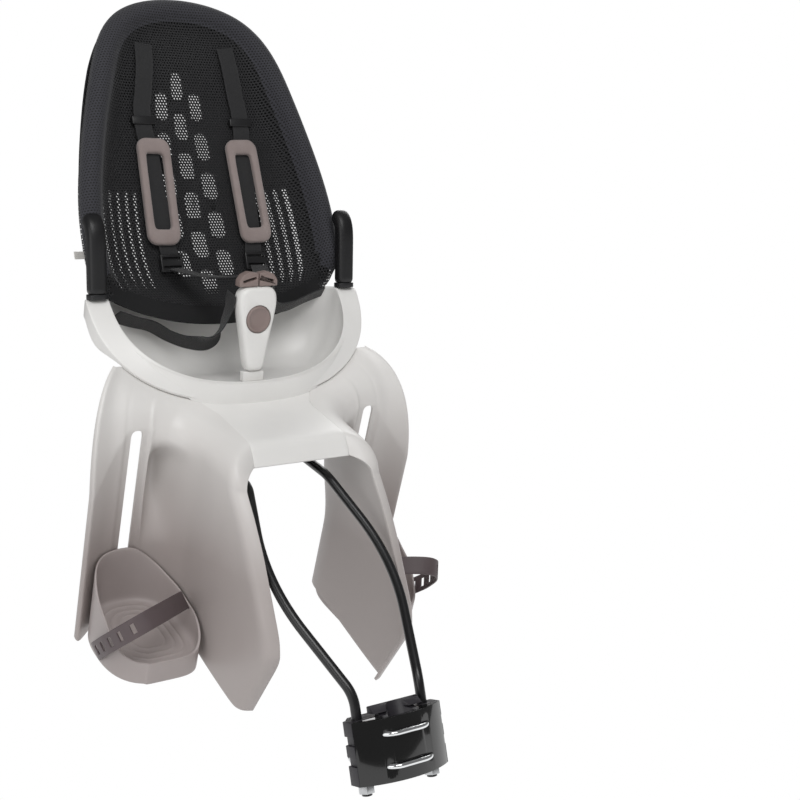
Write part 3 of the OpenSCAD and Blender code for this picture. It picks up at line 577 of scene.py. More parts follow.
def bowlPoint(angle, t):
    e = bandPoint(angle, 1)
    f = Vector((e.x * 0.66, e.y * (0.74 if e.y < 0 else 0.35), -pan["depth"]))
    c, s = math.cos(t * math.pi / 2), math.sin(t * math.pi / 2)
    return Vector((mix(f.x, e.x, c), mix(f.y, e.y, c), mix(e.z, f.z, s)))


def panRing(angle, kind, t):
    if kind == "skirt":
        return skirtLow(angle, t)
    if kind == "band":
        return bandPoint(angle, t)
    if kind == "bowl":
        return bowlPoint(angle, t)
    f = bowlPoint(angle, 1)
    return Vector((f.x * t, (f.y + 20) * t - 20, f.z))


panRings = [("skirt", t) for t in (1, 0.93, 0.4, 0.1)]
panRings += [("band", t) for t in (0.0, 0.05, 0.3, 0.7, 0.93, 1.0)]
panRings += [("bowl", t) for t in (0.03, 0.1, 0.2, 0.32, 0.44, 0.56, 0.68, 0.8, 0.9, 1.0)]
panRings += [("floor", t) for t in (0.85, 0.6, 0.35, 0.12)]


def panSurface(row, column):
    kind, t = panRings[asRow(row, len(panRings) - 1)]
    return panRing(column * 2 * math.pi, kind, t)


def capLast(obj, count):  # closes the shortest open rims of a mesh, count of them
    shape = bmesh.new()
    shape.from_mesh(obj.data)
    rims = [e for e in shape.edges if e.is_boundary]
    loops = []
    while rims:
        loop = [rims.pop()]
        grown = True
        while grown:
            grown = False
            ends = {v for e in loop for v in e.verts}
            for e in list(rims):
                if ends & set(e.verts):
                    loop.append(e)
                    rims.remove(e)
                    grown = True
        loops.append(loop)
    loops.sort(key=lambda loop: sum(e.calc_length() for e in loop))
    for loop in loops[:count]:
        bmesh.ops.contextual_create(shape, geom=loop)
    shape.to_mesh(obj.data)
    shape.free()


def makePan():
    obj = gridPiece(panSurface, len(panRings) - 1, pan["around"], closed=True)
    capLast(obj, 1)
    addWall(obj, pan["wall"] / 1000)
    addSubdivision(obj, 1)
    applyAll(obj)
    smoothShade(obj, 50)
    return finishPiece(obj, "seat_pan", shellWhite, name="seatShell")


makePan()
print("seat pan made")

# Centre cover of the deck

cover = {"halfWidth": 70, "wall": 3.5, "gap": 0.45}


def seamX(y):
    return cover["halfWidth"] + 22 * max(0, (y + 30) / 30) ** 2


def underRim(x):  # a point of the deck frame just under the rim's front edge
    c = (x / (pan["halfWidth"] + pan["band"])) ** (pan["frontPower"] / 2)
    p = toDeck @ skirtLow(-math.acos(c))
    return Vector((x, p.y - 0.7, p.z - 0.9))


tuck = Vector((0, 6.5, 0.2))  # from the rim's underside to the hidden edge behind the skirt
coverRows = [(-14, 0), (-19, 0), (-30, 0), (-45, 0), (-65, 0), (-85, 0), (-100, 0), (-106, -0.3),
             (-111, -1.8), (-114.5, -4.5), (-117, -8), (-123, -15), (-128, -22), (-129, -23)]


def coverSurface(row, column):
    k = asRow(row, len(coverRows) + 2)
    s = column * 2 - 1
    rear = seamX(-6) - cover["gap"]
    if k < 3:
        edge = underRim(rear * abs(s))
        edge.x = rear * s
        return edge + tuck * (1, 0.9, 0)[k]
    y, z = coverRows[k - 3]
    return Vector(((seamX(y) - cover["gap"]) * s, y, z))


def makeCover():
    obj = gridPiece(coverSurface, len(coverRows) + 2, 28, place_=deckFrame)
    flipFaces(obj)
    addWall(obj, cover["wall"] / 1000)
    addBevel(obj, 0.0006, 2, 50)
    applyAll(obj)
    smoothShade(obj, 40)
    return finishPiece(obj, "centre_cover", shellWhite, name="deckCover")


makeCover()

# Leg shields

shield = {
    "guardY": -78, "length": 300, "wall": 3.5, "slotX": 175, "slotWidth": 16, "slotY": -16, "slotLow": -250,
    "knee": -195, "rollRows": 14, "wallRows": 14, "lowRows": 4,
}
frontEdge = [(-23, -129), (-33, -148), (-60, -180), (-93, -213), (-170, -276), (-195, -285), (-300, -247)]


def guardAt(x, share, inset):
    return lambda z: (x, mix(lookup(frontEdge, z) + inset, shield["guardY"], share))


def wallAt(x, y):
    return lambda z: (x, y)


def seamTop(y):
    return Vector((seamX(y) + 0.3, y, 0))


lipX = cover["halfWidth"] + 0.3
slotInner = shield["slotX"] - shield["slotWidth"] / 2
slotOuter = shield["slotX"] + shield["slotWidth"] / 2
slotY = shield["slotY"]
# wall position, height where the wall begins, rise of the foot, depth of the pocket, top point
shieldColumns = [
    (guardAt(92, 0, 0), -40, 6, 0, Vector((lipX, -129, -23))),
    (guardAt(98, 0, 1.5), -40, 6, 0, Vector((lipX, -125.5, -18.5))),
    (guardAt(104, 0, 5), -40, 5, 0, Vector((lipX, -121, -12.5))),
    (guardAt(107.5, 0, 10), -40, 5, 0, Vector((lipX, -116.5, -7.5))),
    (guardAt(109.5, 0, 17), -40, 4, 0, Vector((lipX, -113, -3))),
    (guardAt(110, 0.1, 19), -40, 5, 0, Vector((lipX, -108, -0.4))),
    (guardAt(111, 0.35, 19), -40, 9, 0, Vector((lipX, -100, 0))),
    (guardAt(112, 0.65, 19), -40, 15, 0, seamTop(-88)),
    (guardAt(112, 0.9, 19), -40, 21, 0, seamTop(-75)),
    (wallAt(112.5, -74), -40, 23, 0, seamTop(-66)),
    (wallAt(114, -64), -40, 22, 0.04, seamTop(-52)),
    (wallAt(117, -53), -40, 20, 0.22, seamTop(-38)),
    (wallAt(122, -42), -38, 18, 0.55, seamTop(-26)),
    (wallAt(129, -33), -36, 15, 0.85, seamTop(-15)),
    (wallAt(136, -27), -32, 13, 1, underRim(seamX(-6) + 0.3)),
    (wallAt(142, -24), -29, 12, 0.9, underRim(101)),
    (wallAt(147.5, -21.5), -26, 11, 0.66, underRim(114)),
    (wallAt(152, -20), -23, 10.5, 0.35, underRim(124)),
    (wallAt(154.5, -19.8), -21, 10, 0.14, underRim(129)),
    (wallAt(156.5, -19.6), -20, 10, 0.02, underRim(134)),
    (wallAt(158.5, -16.6), -19, 9.5, 0, underRim(138)),
    (wallAt(162, slotY), -18, 9, 0, underRim(142)),
    (wallAt(slotInner - 1, slotY), -18, 9, 0, underRim(145)),
    (wallAt(slotInner, slotY), -18, 9, 0, underRim(146)),
    (wallAt(slotOuter, slotY), -18, 8, 0, underRim(157)),
    (wallAt(slotOuter + 1, slotY), -18, 8, 0, underRim(158)),
    (wallAt(190, -16.5), -22, 7, 0, underRim(162)),
    (wallAt(193, -19.5), -28, 6, 0, underRim(165)),
    (wallAt(199, -20.5), -34, 5, 0, underRim(169)),
    (wallAt(206, -23), -45, 3, 0, underRim(173)),
    (wallAt(214, -27.5), -57, 1, 0, underRim(176)),
    (wallAt(222, -33.5), -68, -1, 0, underRim(180) + Vector((0, -2.5, -0.4))),
    (wallAt(230, -39.5), -79, -3, 0, underRim(183) + Vector((0.5, -7.5, -1.2))),
    (wallAt(236, -44.5), -88, -3, 0, underRim(185) + Vector((2, -12, -1.6))),
    (wallAt(239.5, -45), -90, -3, 0, underRim(186) + Vector((3.5, -14.5, -1.6))),
    (wallAt(241, -41), -90, -2, 0, underRim(186) + Vector((5.5, -13.5, -1.2))),
    (wallAt(240.5, -36), -90, -1, 0, underRim(186) + Vector((6, -11, -1))),
]
tuckFrom, tuckTo = 14, 31  # the columns between these are tucked behind the pan's skirt
slotColumn = 23  # the column on the slot's inner edge
shieldRows = shield["rollRows"] + shield["wallRows"] + shield["lowRows"]


def pocketDepth(z):
    return 34 * smooth((-38 - z) / 28) * smooth((z + 184) / 92)


def shieldHeight(k, wallTop, low):
    roll, wall = shield["rollRows"], shield["wallRows"]
    if k <= roll:
        return wallTop
    if k <= roll + wall:
        return mix(wallTop, shield["knee"], (k - roll) / wall)
    slotLow = shield["slotLow"]
    steps = [mix(shield["knee"], slotLow, 0.5), slotLow, mix(slotLow, low, 0.5), low]
    return steps[k - roll - wall - 1]


def shieldSurface(row, column):
    k = asRow(1 - row, shieldRows + 1) - 1
    c = asRow(column, len(shieldColumns) - 1)
    spot, wallTop, rise, pocket, top = shieldColumns[c]
    z = shieldHeight(max(k, 0), wallTop, -shield["length"] + rise)
    x, y = spot(z)
    middle = Vector((x, mix(y, top.y, 0.28), mix(top.z, wallTop, 0.1)))
    if k < 0:
        return top + tuck if tuckFrom < c < tuckTo else top.lerp(middle, -0.02)
    if k < shield["rollRows"]:
        return bezier(top, middle, Vector((x, y, wallTop)), k / shield["rollRows"])
    return Vector((x, y + pocket * pocketDepth(z), z))


def inSlot(row, column):
    k = (1 - row) * (shieldRows + 1) - 1
    c = column * (len(shieldColumns) - 1)
    roll, wall = shield["rollRows"], shield["wallRows"]
    return slotColumn < c < slotColumn + 1 and roll < k < roll + wall + 2


def makeShields():
    obj = gridPiece(shieldSurface, shieldRows + 1, len(shieldColumns) - 1, place_=deckFrame, gap=inSlot)
    addSubdivision(obj, 2, keepCorners=True)
    addWall(obj, shield["wall"] / 1000)
    addBevel(obj, 0.0007, 2, 50)
    applyAll(obj)
    rightSideOut(obj)
    smoothShade(obj, 60)
    return bothSides(obj, "leg_shield", shieldTaupe)


makeShields()
print("deck and shields made")

# Foot cups

cup = {
    "centreX": 175, "centreY": -92.5, "width": 120, "length": 146, "wall": 3, "floor": -268, "foot": -293,
    "around": 80,
}
# the rim's height by the angle round the cup
cupRimTable = [(-180, -228), (-150, -247), (-120, -261), (-60, -262), (-30, -254), (0, -222), (30, -193),
               (60, -187), (97, -186), (120, -203), (150, -221), (180, -228)]


def cupRim(degrees):  # the table's heights, eased between its angles
    return sum(lookup(cupRimTable, (degrees + d + 180) % 360 - 180) for d in (-9, -4, 0, 4, 9)) / 5


def cupPoint(degrees, z, inset):
    n = 4.5 if degrees < -90 else mix(4.5, 2.5, smooth((degrees + 90) / 20))
    x, y = oval(math.radians(degrees), cup["width"] / 2 - inset, cup["length"] / 2 - inset, n)
    return Vector((cup["centreX"] + x, cup["centreY"] + y, z))


def cupRings():  # (height, share of the way up to the rim, inset), from under the sole round to the floor
    floor, foot, wall = cup["floor"], cup["foot"], cup["wall"]
    under = [(floor - wall, 0, 36), (floor - wall, 0, 20), (floor - wall, 0, 9)]
    under += [(floor - wall - 2, 0, wall + 1), (floor - wall - 5, 0, wall + 0.5)]
    under += [(foot + 1, 0, wall), (foot, 0, wall - 0.6), (foot, 0, 0.9)]
    side = [(foot + 1, 0, 0.2)] + [(foot + 4, share, 0) for share in (0, 0.2, 0.45, 0.7, 0.9, 0.985)]
    side += [(foot + 4, 1, 0.7), (foot + 4, 1, wall - 0.9), (floor + 6, 0.97, wall - 0.1)]
    inside = [(floor + 6, share, wall) for share in (0.8, 0.5, 0.2)] + [(floor + 6, 0, wall + 0.8)]
    inside += [(floor + 3, 0, wall + 2), (floor + 0.8, 0, 7), (floor, 0, 10)]
    for ridge in (16, 26, 36):
        inside += [(floor, 0, ridge - 0.6), (floor + 1, 0, ridge)]
        inside += [(floor + 1, 0, ridge + 2), (floor, 0, ridge + 2.6)]
    inside.append((floor, 0, 46))
    return under + side + inside


cupLevels = cupRings()


def cupSurface(row, column):
    z, share, inset = cupLevels[asRow(row, len(cupLevels) - 1)]
    degrees = 360 * (column % 1) - 180
    return cupPoint(degrees, mix(z, cupRim(degrees), share), inset)


def makeCups():
    obj = gridPiece(cupSurface, len(cupLevels) - 1, cup["around"], place_=deckFrame, closed=True)
    capLast(obj, 2)
    addSubdivision(obj, 1)
    applyAll(obj)
    rightSideOut(obj)
    smoothShade(obj, 50)
    return bothSides(obj, "foot_cup", cupTaupe, "foot_cup")


makeCups()


def smoothPath(points, count):  # evenly shared points of one smooth curve through all of them
    pts = [Vector(p) for p in points]
    run = runAlong(pts)
    line = []
    for k in range(count + 1):
        t = run[-1] * k / count
        i = max(0, min(len(pts) - 2, next((j for j in range(len(run) - 1) if t <= run[j + 1]), len(pts) - 2)))
        u = (t - run[i]) / (run[i + 1] - run[i])
        a, b = pts[i], pts[i + 1]
        before = pts[i - 1] if i else a * 2 - b
        after = pts[i + 2] if i + 2 < len(pts) else b * 2 - a
        line.append(0.5 * (2 * a + (b - before) * u + (2 * before - 5 * a + 4 * b - after) * u * u
                           + (3 * a - before - 3 * b + after) * u ** 3))
    return line


footStrap = {
    "width": 24, "thick": 2.2, "steps": 150, "slots": (0.097, 0.183, 0.271, 0.36, 0.453), "slotHalf": 0.016,
    "slotShare": 0.3,
}
# the strap's middle line, from the cup's middle
strapPoints = [(64.3, -6, -281), (69, -19.5, -268), (70.3, -40.5, -245.4), (66.9, -55.5, -227.8),
               (61, -69.5, -210.2), (51.1, -77.5, -197.1), (34.6, -77.5, -189.6), (11.1, -65.5, -191.8),
               (-16.5, -43.5, -202.8), (-47.2, -15.5, -218.8), (-52, -12, -222)]
strapSpots = [(cup["centreX"] + x, cup["centreY"] + y, z) for x, y, z in strapPoints]
strapLine = smoothPath(strapSpots, footStrap["steps"])
strapAcross = Vector((0.3, 0.6, 0.75)).normalized()


def strapSurface(row, column):
    spot = strapLine[asRow(column, footStrap["steps"])]
    return spot + strapAcross * footStrap["width"] * (row - 0.5)


def strapGap(row, column):
    inRow = abs(row - 0.5) < footStrap["slotShare"]
    return inRow and any(abs(column - p) < footStrap["slotHalf"] for p in footStrap["slots"])


def makeFootStraps():
    obj = gridPiece(strapSurface, 8, footStrap["steps"], place_=deckFrame, gap=strapGap)
    flipFaces(obj)
    addWall(obj, footStrap["thick"] / 1000)
    addBevel(obj, 0.0005, 2, 50)
    applyAll(obj)
    rightSideOut(obj)
    smoothShade(obj, 50)
    return bothSides(obj, "foot_strap", strapRubber, "foot_cup")


makeFootStraps()
print("foot cups made")

# Backrest: mesh cover with its padded roll, and the shell behind it

back = {"length": 423, "footWidth": 193, "topWidth": 148, "wall": 2.2, "shellWall": 3, "shellDepth": 42}


def backHalf(h):
    full = back["footWidth"] - (back["footWidth"] - back["topWidth"]) * smooth((h - 88) / 284)
    return full * math.sqrt(max(0, 1 - (h / back["length"]) ** 8))


def makeOutline():
    half = [(x, -40 + 40 * (x / 165) ** 2.2) for x in (0, 22, 45, 66, 85, 103, 120, 134, 147, 157)]
    half += [(166, 1.5), (173, 6.5), (180, 13), (185, 20.5), (188.5, 29), (190.7, 38), (192, 48), (192.8, 60)]
    half += [(backHalf(h), h) for h in range(75, 390, 14)]
    top = [0.93, 0.945, 0.958, 0.969, 0.978, 0.9855, 0.9915, 0.996, 0.999]
    half += [(backHalf(back["length"] * k), back["length"] * k) for k in top]
    left = [(-x, h) for x, h in reversed(half[1:])]
    return half + [(0, back["length"])] + left


outline = makeOutline()


def curl(h):
    return 18 * max(0, (h - 300) / 115) ** 2


def panelY(h):
    return 24 - 14 * smooth((h - 235) / 115)


def spinePoint(p):
    return 0.0, min(max(p[1], 130), 250)


def shareTo(p, share):
    sx, sh = spinePoint(p)
    return mix(p[0], sx, share), mix(p[1], sh, share)


def insetTo(p, e):
    sx, sh = spinePoint(p)
    return shareTo(p, min(0.95, e / math.hypot(p[0] - sx, p[1] - sh)))


def rollShare(p):
    return smooth((p[1] - 2) / 40)


# inset and depth on the roll, share of the panel's depth, inset where it lies flat, share of the way inwards
coverProfile = [
    (2, 13, 0, 0, 0), (0.6, 9.5, 0, 0.8, 0), (0, 3, 0, 3, 0), (0.6, -1.5, 0, 4.5, 0), (2.6, -5.8, 0, 6, 0),
    (5.5, -8.8, 0, 8, 0), (9, -10.9, 0, 11, 0), (13, -12, 0, 15, 0), (17.5, -11.8, 0, 18.5, 0),
    (21.5, -10.2, 0, 22, 0), (25, -7.6, 0, 25.5, 0), (28, -4.4, 0.02, 28.5, 0), (30, -2.4, 0.1, 30.6, 0),
    (34, 0.5, 0.28, 34, 0), (40, 5, 0.55, 40, 0), (48, 11, 0.82, 48, 0), (60, 20, 1, 60, 0),
]
coverProfile += [(0, 20, 1, 0, share) for share in (0.45, 0.58, 0.72, 0.86, 0.95)]
crease = 12  # the row of the profile where the roll meets the panel


def coverPoint(p, line):
    inset, depth, share, flatInset, spineShare = line
    k = rollShare(p)
    q = shareTo(p, spineShare) if spineShare else insetTo(p, mix(flatInset, inset, k))
    flat = mix(12, panelY(q[1]), share)
    roll = mix(depth, panelY(q[1]), share)
    return Vector((q[0], mix(flat, roll, k) + curl(q[1]), q[1]))


def makeRollLengths():  # length across the cover from the crease outwards, for an even weave
    lengths = []
    for p in outline:
        run = runAlong([coverPoint(p, line) for line in coverProfile])
        lengths.append([run[crease] - r for r in run])
    return lengths


rollLengths = makeRollLengths()


def coverSpot(row, column):
    return asRow(row, len(coverProfile) - 1), asRow(column, len(outline)) % len(outline)


def meshSurface(row, column):
    k, j = coverSpot(row, column)
    return coverPoint(outline[j], coverProfile[k])


def meshUv(row, column):
    k, j = coverSpot(row, column)
    p = outline[j]
    q = coverPoint(p, coverProfile[k])
    if k >= crease:
        return q.x / 1000, q.z / 1000
    fold = coverPoint(p, coverProfile[crease])
    sx, sh = spinePoint(p)
    away = Vector((p[0] - sx, p[1] - sh)).normalized()
    reach = rollLengths[j][k]
    return (fold.x + away.x * reach) / 1000, (fold.z + away.y * reach) / 1000


def makeMeshCover():
    obj = gridPiece(meshSurface, len(coverProfile) - 1, len(outline), backFrame, closed=True, uv=meshUv)
    capLast(obj, 1)
    mesh = obj.data
    mesh.materials.clear()
    for material in (meshOpen, meshRollPaintedSheen, bandFabric):
        mesh.materials.append(material)
    back_ = backFrame.inverted()
    for face in mesh.polygons:
        spots = [back_ @ mesh.vertices[v].co for v in face.vertices]
        h = sum(s.z for s in spots) / len(spots)
        x = sum(s.x for s in spots) / len(spots)
        y = sum(s.y for s in spots) / len(spots) - curl(h)
        low = -40 + 40 * (min(abs(x), 165) / 165) ** 2.2
        if h < low + 24 and abs(x) < 160:
            face.material_index = 2
        elif y < 4.0 and h < 330 or y < 2.4:
            face.material_index = 1
    addWall(obj, back["wall"] / 1000)
    addSubdivision(obj, 1)
    applyAll(obj)
    smoothShade(obj, 60)
    obj.name = "meshCover"
    obj.data.name = "meshCover"
    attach(obj, "seat")
    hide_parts("mesh_cover")
    return obj


makeMeshCover()

# rows up the shell and columns across it, where some cells stay open
halfColumns = [12, 21, 45, 54, 78, 88, 95, 102, 109, 116, 123, 130, 137, 144, 151, 166, 180, 188]
shellColumns = [-x / 188 for x in reversed(halfColumns)] + [x / 188 for x in halfColumns]
shellHeights = [3.5, 15] + [52 + 57 * k + d for k in range(5) for d in (-20, -8.5, 8.5, 20)] + [317, 328.5]
shellHeights += [back["length"] * k for k in (0.845, 0.905, 0.95, 0.975)] + [back["length"] - 5]
footWidths = [(3.5, 168), (15, 181.5), (32, 188.5), (43.5, 191), (60.5, 192.6), (72, 193)]


def shellPoint(x, h):
    v = (h - 190) / (back["length"] - 195) if h > 190 else (190 - h) / 228
    u = min(1, ((abs(x) / 188) ** 4 + abs(v) ** 4) ** 0.25)
    return Vector((x, 14.8 + back["shellDepth"] * (1 - u ** 3) + curl(h), h))


def shellSurface(row, column):
    s = shellColumns[asRow(column, 35)]
    k = asRow(row, len(shellHeights))
    if k == 0:
        return shellPoint(160 * s, -38 + 40 * (abs(160 * s) / 165) ** 2.2)
    h = shellHeights[k - 1]
    half = lookup(footWidths, h) if h < 72 else backHalf(h)
    return shellPoint((half - 5) * s, h)


def shellOpen(row, column):
    i, q = int(row * len(shellHeights)), abs(int(column * 35) - 17)
    if q == 0:
        return 0 < i < 24 and (i - 1) % 4 < 3
    if q == 2:
        return 2 < i < 22 and (i - 3) % 4 < 3
    return q in (6, 8, 10, 12, 14) and 1 < i < 12


def makeBackShell():
    obj = gridPiece(shellSurface, len(shellHeights), 35, place_=backFrame, gap=shellOpen)
    flipFaces(obj)
    addSubdivision(obj, 2, keepCorners=True)
    addWall(obj, back["shellWall"] / 1000)
    addBevel(obj, 0.0006, 2, 50)
    applyAll(obj)
    rightSideOut(obj)
    smoothShade(obj, 45)
    return finishPiece(obj, "back_shell", backBlack)


makeBackShell()
print("backrest made")

# Swept and copied pieces


def roundedPath(points, radii, steps=14):  # straight runs joined by arcs
    pts = [Vector(p) for p in points]
    line = [pts[0]]
    for k in range(1, len(pts) - 1):
        back_ = (pts[k - 1] - pts[k]).normalized()
        on = (pts[k + 1] - pts[k]).normalized()
        turn = math.pi - back_.angle(on)
        reach = radii[k] * math.tan(turn / 2)
        centre = pts[k] + (back_ + on).normalized() * radii[k] / math.cos(turn / 2)
        a, b = pts[k] + back_ * reach - centre, pts[k] + on * reach - centre
        for j in range(steps + 1):
            w = turn * j / steps
            line.append(centre + (a * math.sin(turn - w) + b * math.sin(w)) / math.sin(turn))
    return line + [pts[-1]]


def alongFrames(line, up=(0, 0, 1)):  # direction, side and up at each point, carried along without twist
    ups = Vector(up)
    made = []
    for k, p in enumerate(line):
        d = headingAt(line, k)
        ups = (ups - d * ups.dot(d)).normalized()
        made.append((p, d.cross(ups).normalized(), ups))
    return made


def tubePiece(line, radius, around=24, place_=seatFrame, thread=None):
    # a round rod with softened ends; thread gives a smaller radius where it is cut
    run = runAlong(line)
    frames = alongFrames(line)
    first, last = frames[0], frames[-1]
    start = (line[1] - line[0]).normalized()
    end = (line[-1] - line[-2]).normalized()
    rows = [(first, 0.02, 0.0), (first, 0.8, 0.0), (first, 1.0, 0.5)]
    for k, spot in enumerate(frames[1:-1], 1):
        rows.append((spot, thread(run[k], run[-1]) if thread else 1.0, 0.0))
    rows += [(last, 1.0, -0.5), (last, 0.8, 0.0), (last, 0.02, 0.0)]

    def surface(row, column):
        k = asRow(row, len(rows) - 1)
        (p, side, up_), size, shift = rows[k]
        angle = -column * 2 * math.pi
        move = start * shift if k < 3 else end * shift
        return p + move + (side * math.cos(angle) + up_ * math.sin(angle)) * radius * size

    obj = gridPiece(surface, len(rows) - 1, around, place_=place_, closed=True)
    rightSideOut(obj)
    smoothShade(obj, 45)
    return obj


def nodeCopy(node, material, width, body="seat", segments=3, flat=1.5, angle=30):
    # a copy of a solid from the frame, merged and with softened edges
    obj = bpy.data.objects.new(camel(node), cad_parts[node].data.copy())
    bpy.context.scene.collection.objects.link(obj)
    editAll(obj, lambda: bpy.ops.mesh.remove_doubles(threshold=0.00001),
            lambda: bpy.ops.mesh.dissolve_limited(angle_limit=math.radians(flat)),
            lambda: bpy.ops.mesh.normals_make_consistent(inside=False))
    if obj.data.has_custom_normals:
        bpy.ops.mesh.customdata_custom_splitnormals_clear()
    addBevel(obj, width, segments, angle)
    applyAll(obj)
    smoothShade(obj, 35)
    return finishPiece(obj, node, material, body)


def bandPiece(points, across, width, thick, count=90, place_=seatFrame):
    # a flat woven strap along a path; its UV map holds metres along and across
    line = smoothPath(points, count)
    run = runAlong(line)
    base = Vector(across).normalized()
    headings = [headingAt(line, k) for k in range(len(line))]
    sides = [(base - d * base.dot(d)).normalized() for d in headings]
    shares = [-0.5, -0.485, -0.25, 0, 0.25, 0.485, 0.5]
    rows = len(shares) - 1

    def surface(row, column):
        k = asRow(column, len(line) - 1)
        return line[k] + sides[k] * width * shares[asRow(row, rows)]

    def uv(row, column):
        return run[asRow(column, len(line) - 1)] / 1000, shares[asRow(row, rows)] * width / 1000

    obj = gridPiece(surface, rows, len(line) - 1, place_=place_, uv=uv)
    addWall(obj, thick / 1000, 0.0)
    addBevel(obj, thick / 3500, 2, 50)
    applyAll(obj)
    rightSideOut(obj)
    smoothShade(obj, 50)
    return obj


# Armrests

arm = {"x": 189, "halfWidth": 12.5, "halfDepth": 10, "power": 2.8, "around": 40, "steps": 40}
armPath = [(4, 7.4, 90), (4, 45, 90), (4.4, 74, 87), (7.5, 89, 72), (13, 97, 56), (19, 101, 45)]


def makeArmrests():
    line = smoothPath([(0, y, z) for y, z, turn in armPath], arm["steps"])
    frames = alongFrames(line, (0, -1, 0))
    ends = [(0, 0.05), (0, 0.62), (0, 0.86), (1, 0.97)]
    rows = [(frames[k], size) for k, size in ends] + [(f, 1.0) for f in frames[2:-2]]
    rows += [(frames[-2], 0.97), (frames[-1], 0.86), (frames[-1], 0.62), (frames[-1], 0.05)]

    def surface(row, column):
        (p, side, up), size = rows[asRow(row, len(rows) - 1)]
        a, b = oval(column * 2 * math.pi, arm["halfWidth"] * size, arm["halfDepth"] * size, arm["power"])
        return Vector((arm["x"], p.y, p.z)) + side * a + up * b

    obj = gridPiece(surface, len(rows) - 1, arm["around"], closed=True)
    rightSideOut(obj)
    smoothShade(obj, 60)
    return bothSides(obj, "armrest", gripBlack)


makeArmrests()
nodeCopy("left_armrest_collar", backBlack, 0.0006)
nodeCopy("right_armrest_collar", backBlack, 0.0006)

# Fork and what holds it under the pan

rod = {"diameter": 12, "x": 46, "rearX": 59, "bowX": 93, "y": -13.5, "slope": 50 / 214}


def rodHeight(y):
    return -226 + rod["slope"] * (y + 154)


def makeFork():
    turned = turnX(-place["tubeTilt"])
    half = [turned @ Vector((rod["x"], rod["y"], -50)), turned @ Vector((rod["x"], rod["y"], 63)),
            Vector((rod["bowX"], place["seatY"] - 255, place["seatZ"] - 318)),
            Vector((rod["rearX"], place["seatY"] - 154, place["seatZ"] + rodHeight(-154))),
            Vector((rod["rearX"], place["seatY"] + 78, place["seatZ"] + rodHeight(78)))]
    points = half + [Vector((-p.x, p.y, p.z)) for p in reversed(half)]
    line = roundedPath(points, [0, 45, 260, 40, 30, 30, 40, 260, 45, 0], 18)
    obj = tubePiece(line, rod["diameter"] / 2, 28, place_=milli)
    return finishPiece(obj, "fork", rodBlack)


makeFork()
nodeCopy("fork_carrier", backBlack, 0.0015)
nodeCopy("fork_clamp_plate", zincSteel, 0.0008)
nodeCopy("fork_clamp_screws", zincSteel, 0.0006, angle=50)

# Clamp on the seat tube

bolt = {"x": 31.5, "z": 18, "diameter": 6, "turn": 18, "front": -49.4, "rear": 36, "pitch": 1.0}


def boltThread(run, length):
    near = min(run, length - run)
    if near > 15:
        return 1.0
    return 1.0 - 0.09 * abs(2 * ((near / bolt["pitch"]) % 1) - 1)


def makeBolt(node, z):
    x, front, rear = bolt["x"], bolt["front"], bolt["rear"]
    points = [(x, rear, z), (x, front, z), (-x, front, z), (-x, rear, z)]
    line = roundedPath(points, [0, bolt["turn"], bolt["turn"], 0], 16)
    fine = []
    for a, b in zip(line, line[1:]):
        near = min(abs(a.y - rear), abs(b.y - rear)) < 0.01
        pieces = 160 if near else 1
        fine += [a.lerp(b, j / pieces) for j in range(pieces)]
    obj = tubePiece(fine + [line[-1]], bolt["diameter"] / 2, 20, place_=clampFrame, thread=boltThread)
    return finishPiece(obj, node, brightChrome)


makeBolt("upper_u_bolt", bolt["z"])
makeBolt("lower_u_bolt", -bolt["z"])
nodeCopy("clamp_housing", clampGrey, 0.0018)
nodeCopy("clamp_cover", coverGloss, 0.0022, segments=4, flat=0.3)
nodeCopy("clamp_jaw", clampGrey, 0.0018)
nodeCopy("u_bolt_nuts", zincSteel, 0.0004)
nodeCopy("fork_washers", zincSteel, 0.0003)
nodeCopy("fork_nuts", zincSteel, 0.0006)
nodeCopy("release_latch", clampGrey, 0.0012, body="release_latch")
print("fork and clamp made")

# Buckle, its button, clip and tongues

buckle = {"width": 60, "height": 112, "button": 36, "buttonAt": -42, "around": 96, "corner": 5.0}


def buckleHalf(h):
    return mix(buckle["width"] / 2, 15, smooth(-h / buckle["height"]))


# depth from the rear face and how far the outline is drawn in there
buckleRings = [(0.0, 5.6), (0.8, 3.2), (3.0, 1.2), (7, 0.2), (11, 0), (15, 0.2), (18.5, 1.2), (20.4, 3),
               (21, 6)]


def makeBuckle():
    def surface(row, column):
        y, shrink = buckleRings[asRow(row, len(buckleRings) - 1)]
        angle = column * 2 * math.pi
        x, h = oval(angle, 1, buckle["height"] / 2, buckle["corner"])
        k = 1 - shrink / (buckle["height"] / 2)
        return Vector((x * (buckleHalf(h - buckle["height"] / 2) - shrink), y, h * k - buckle["height"] / 2))

    obj = gridPiece(surface, len(buckleRings) - 1, buckle["around"], place_=buckleFrame, closed=True)
    capLast(obj, 2)
    rightSideOut(obj)
    clearSelection()
    bpy.ops.mesh.primitive_cylinder_add(vertices=72, radius=buckle["button"] / 2000 + 0.0005, depth=0.014)
    cutter = active()
    for v in cutter.data.vertices:
        v.co = buckleFrame @ Vector((v.co.x * 1000, v.co.z * 1000, v.co.y * 1000 + buckle["buttonAt"]))
    rightSideOut(cutter)
    modifier = obj.modifiers.new("seat", "BOOLEAN")
    modifier.object = cutter
    modifier.solver = "EXACT"
    applyAll(obj)
    bpy.data.objects.remove(cutter)
    addBevel(obj, 0.0008, 3, 50)
    applyAll(obj)
    smoothShade(obj, 35)
    return finishPiece(obj, "buckle_body", shellWhite)


makeBuckle()

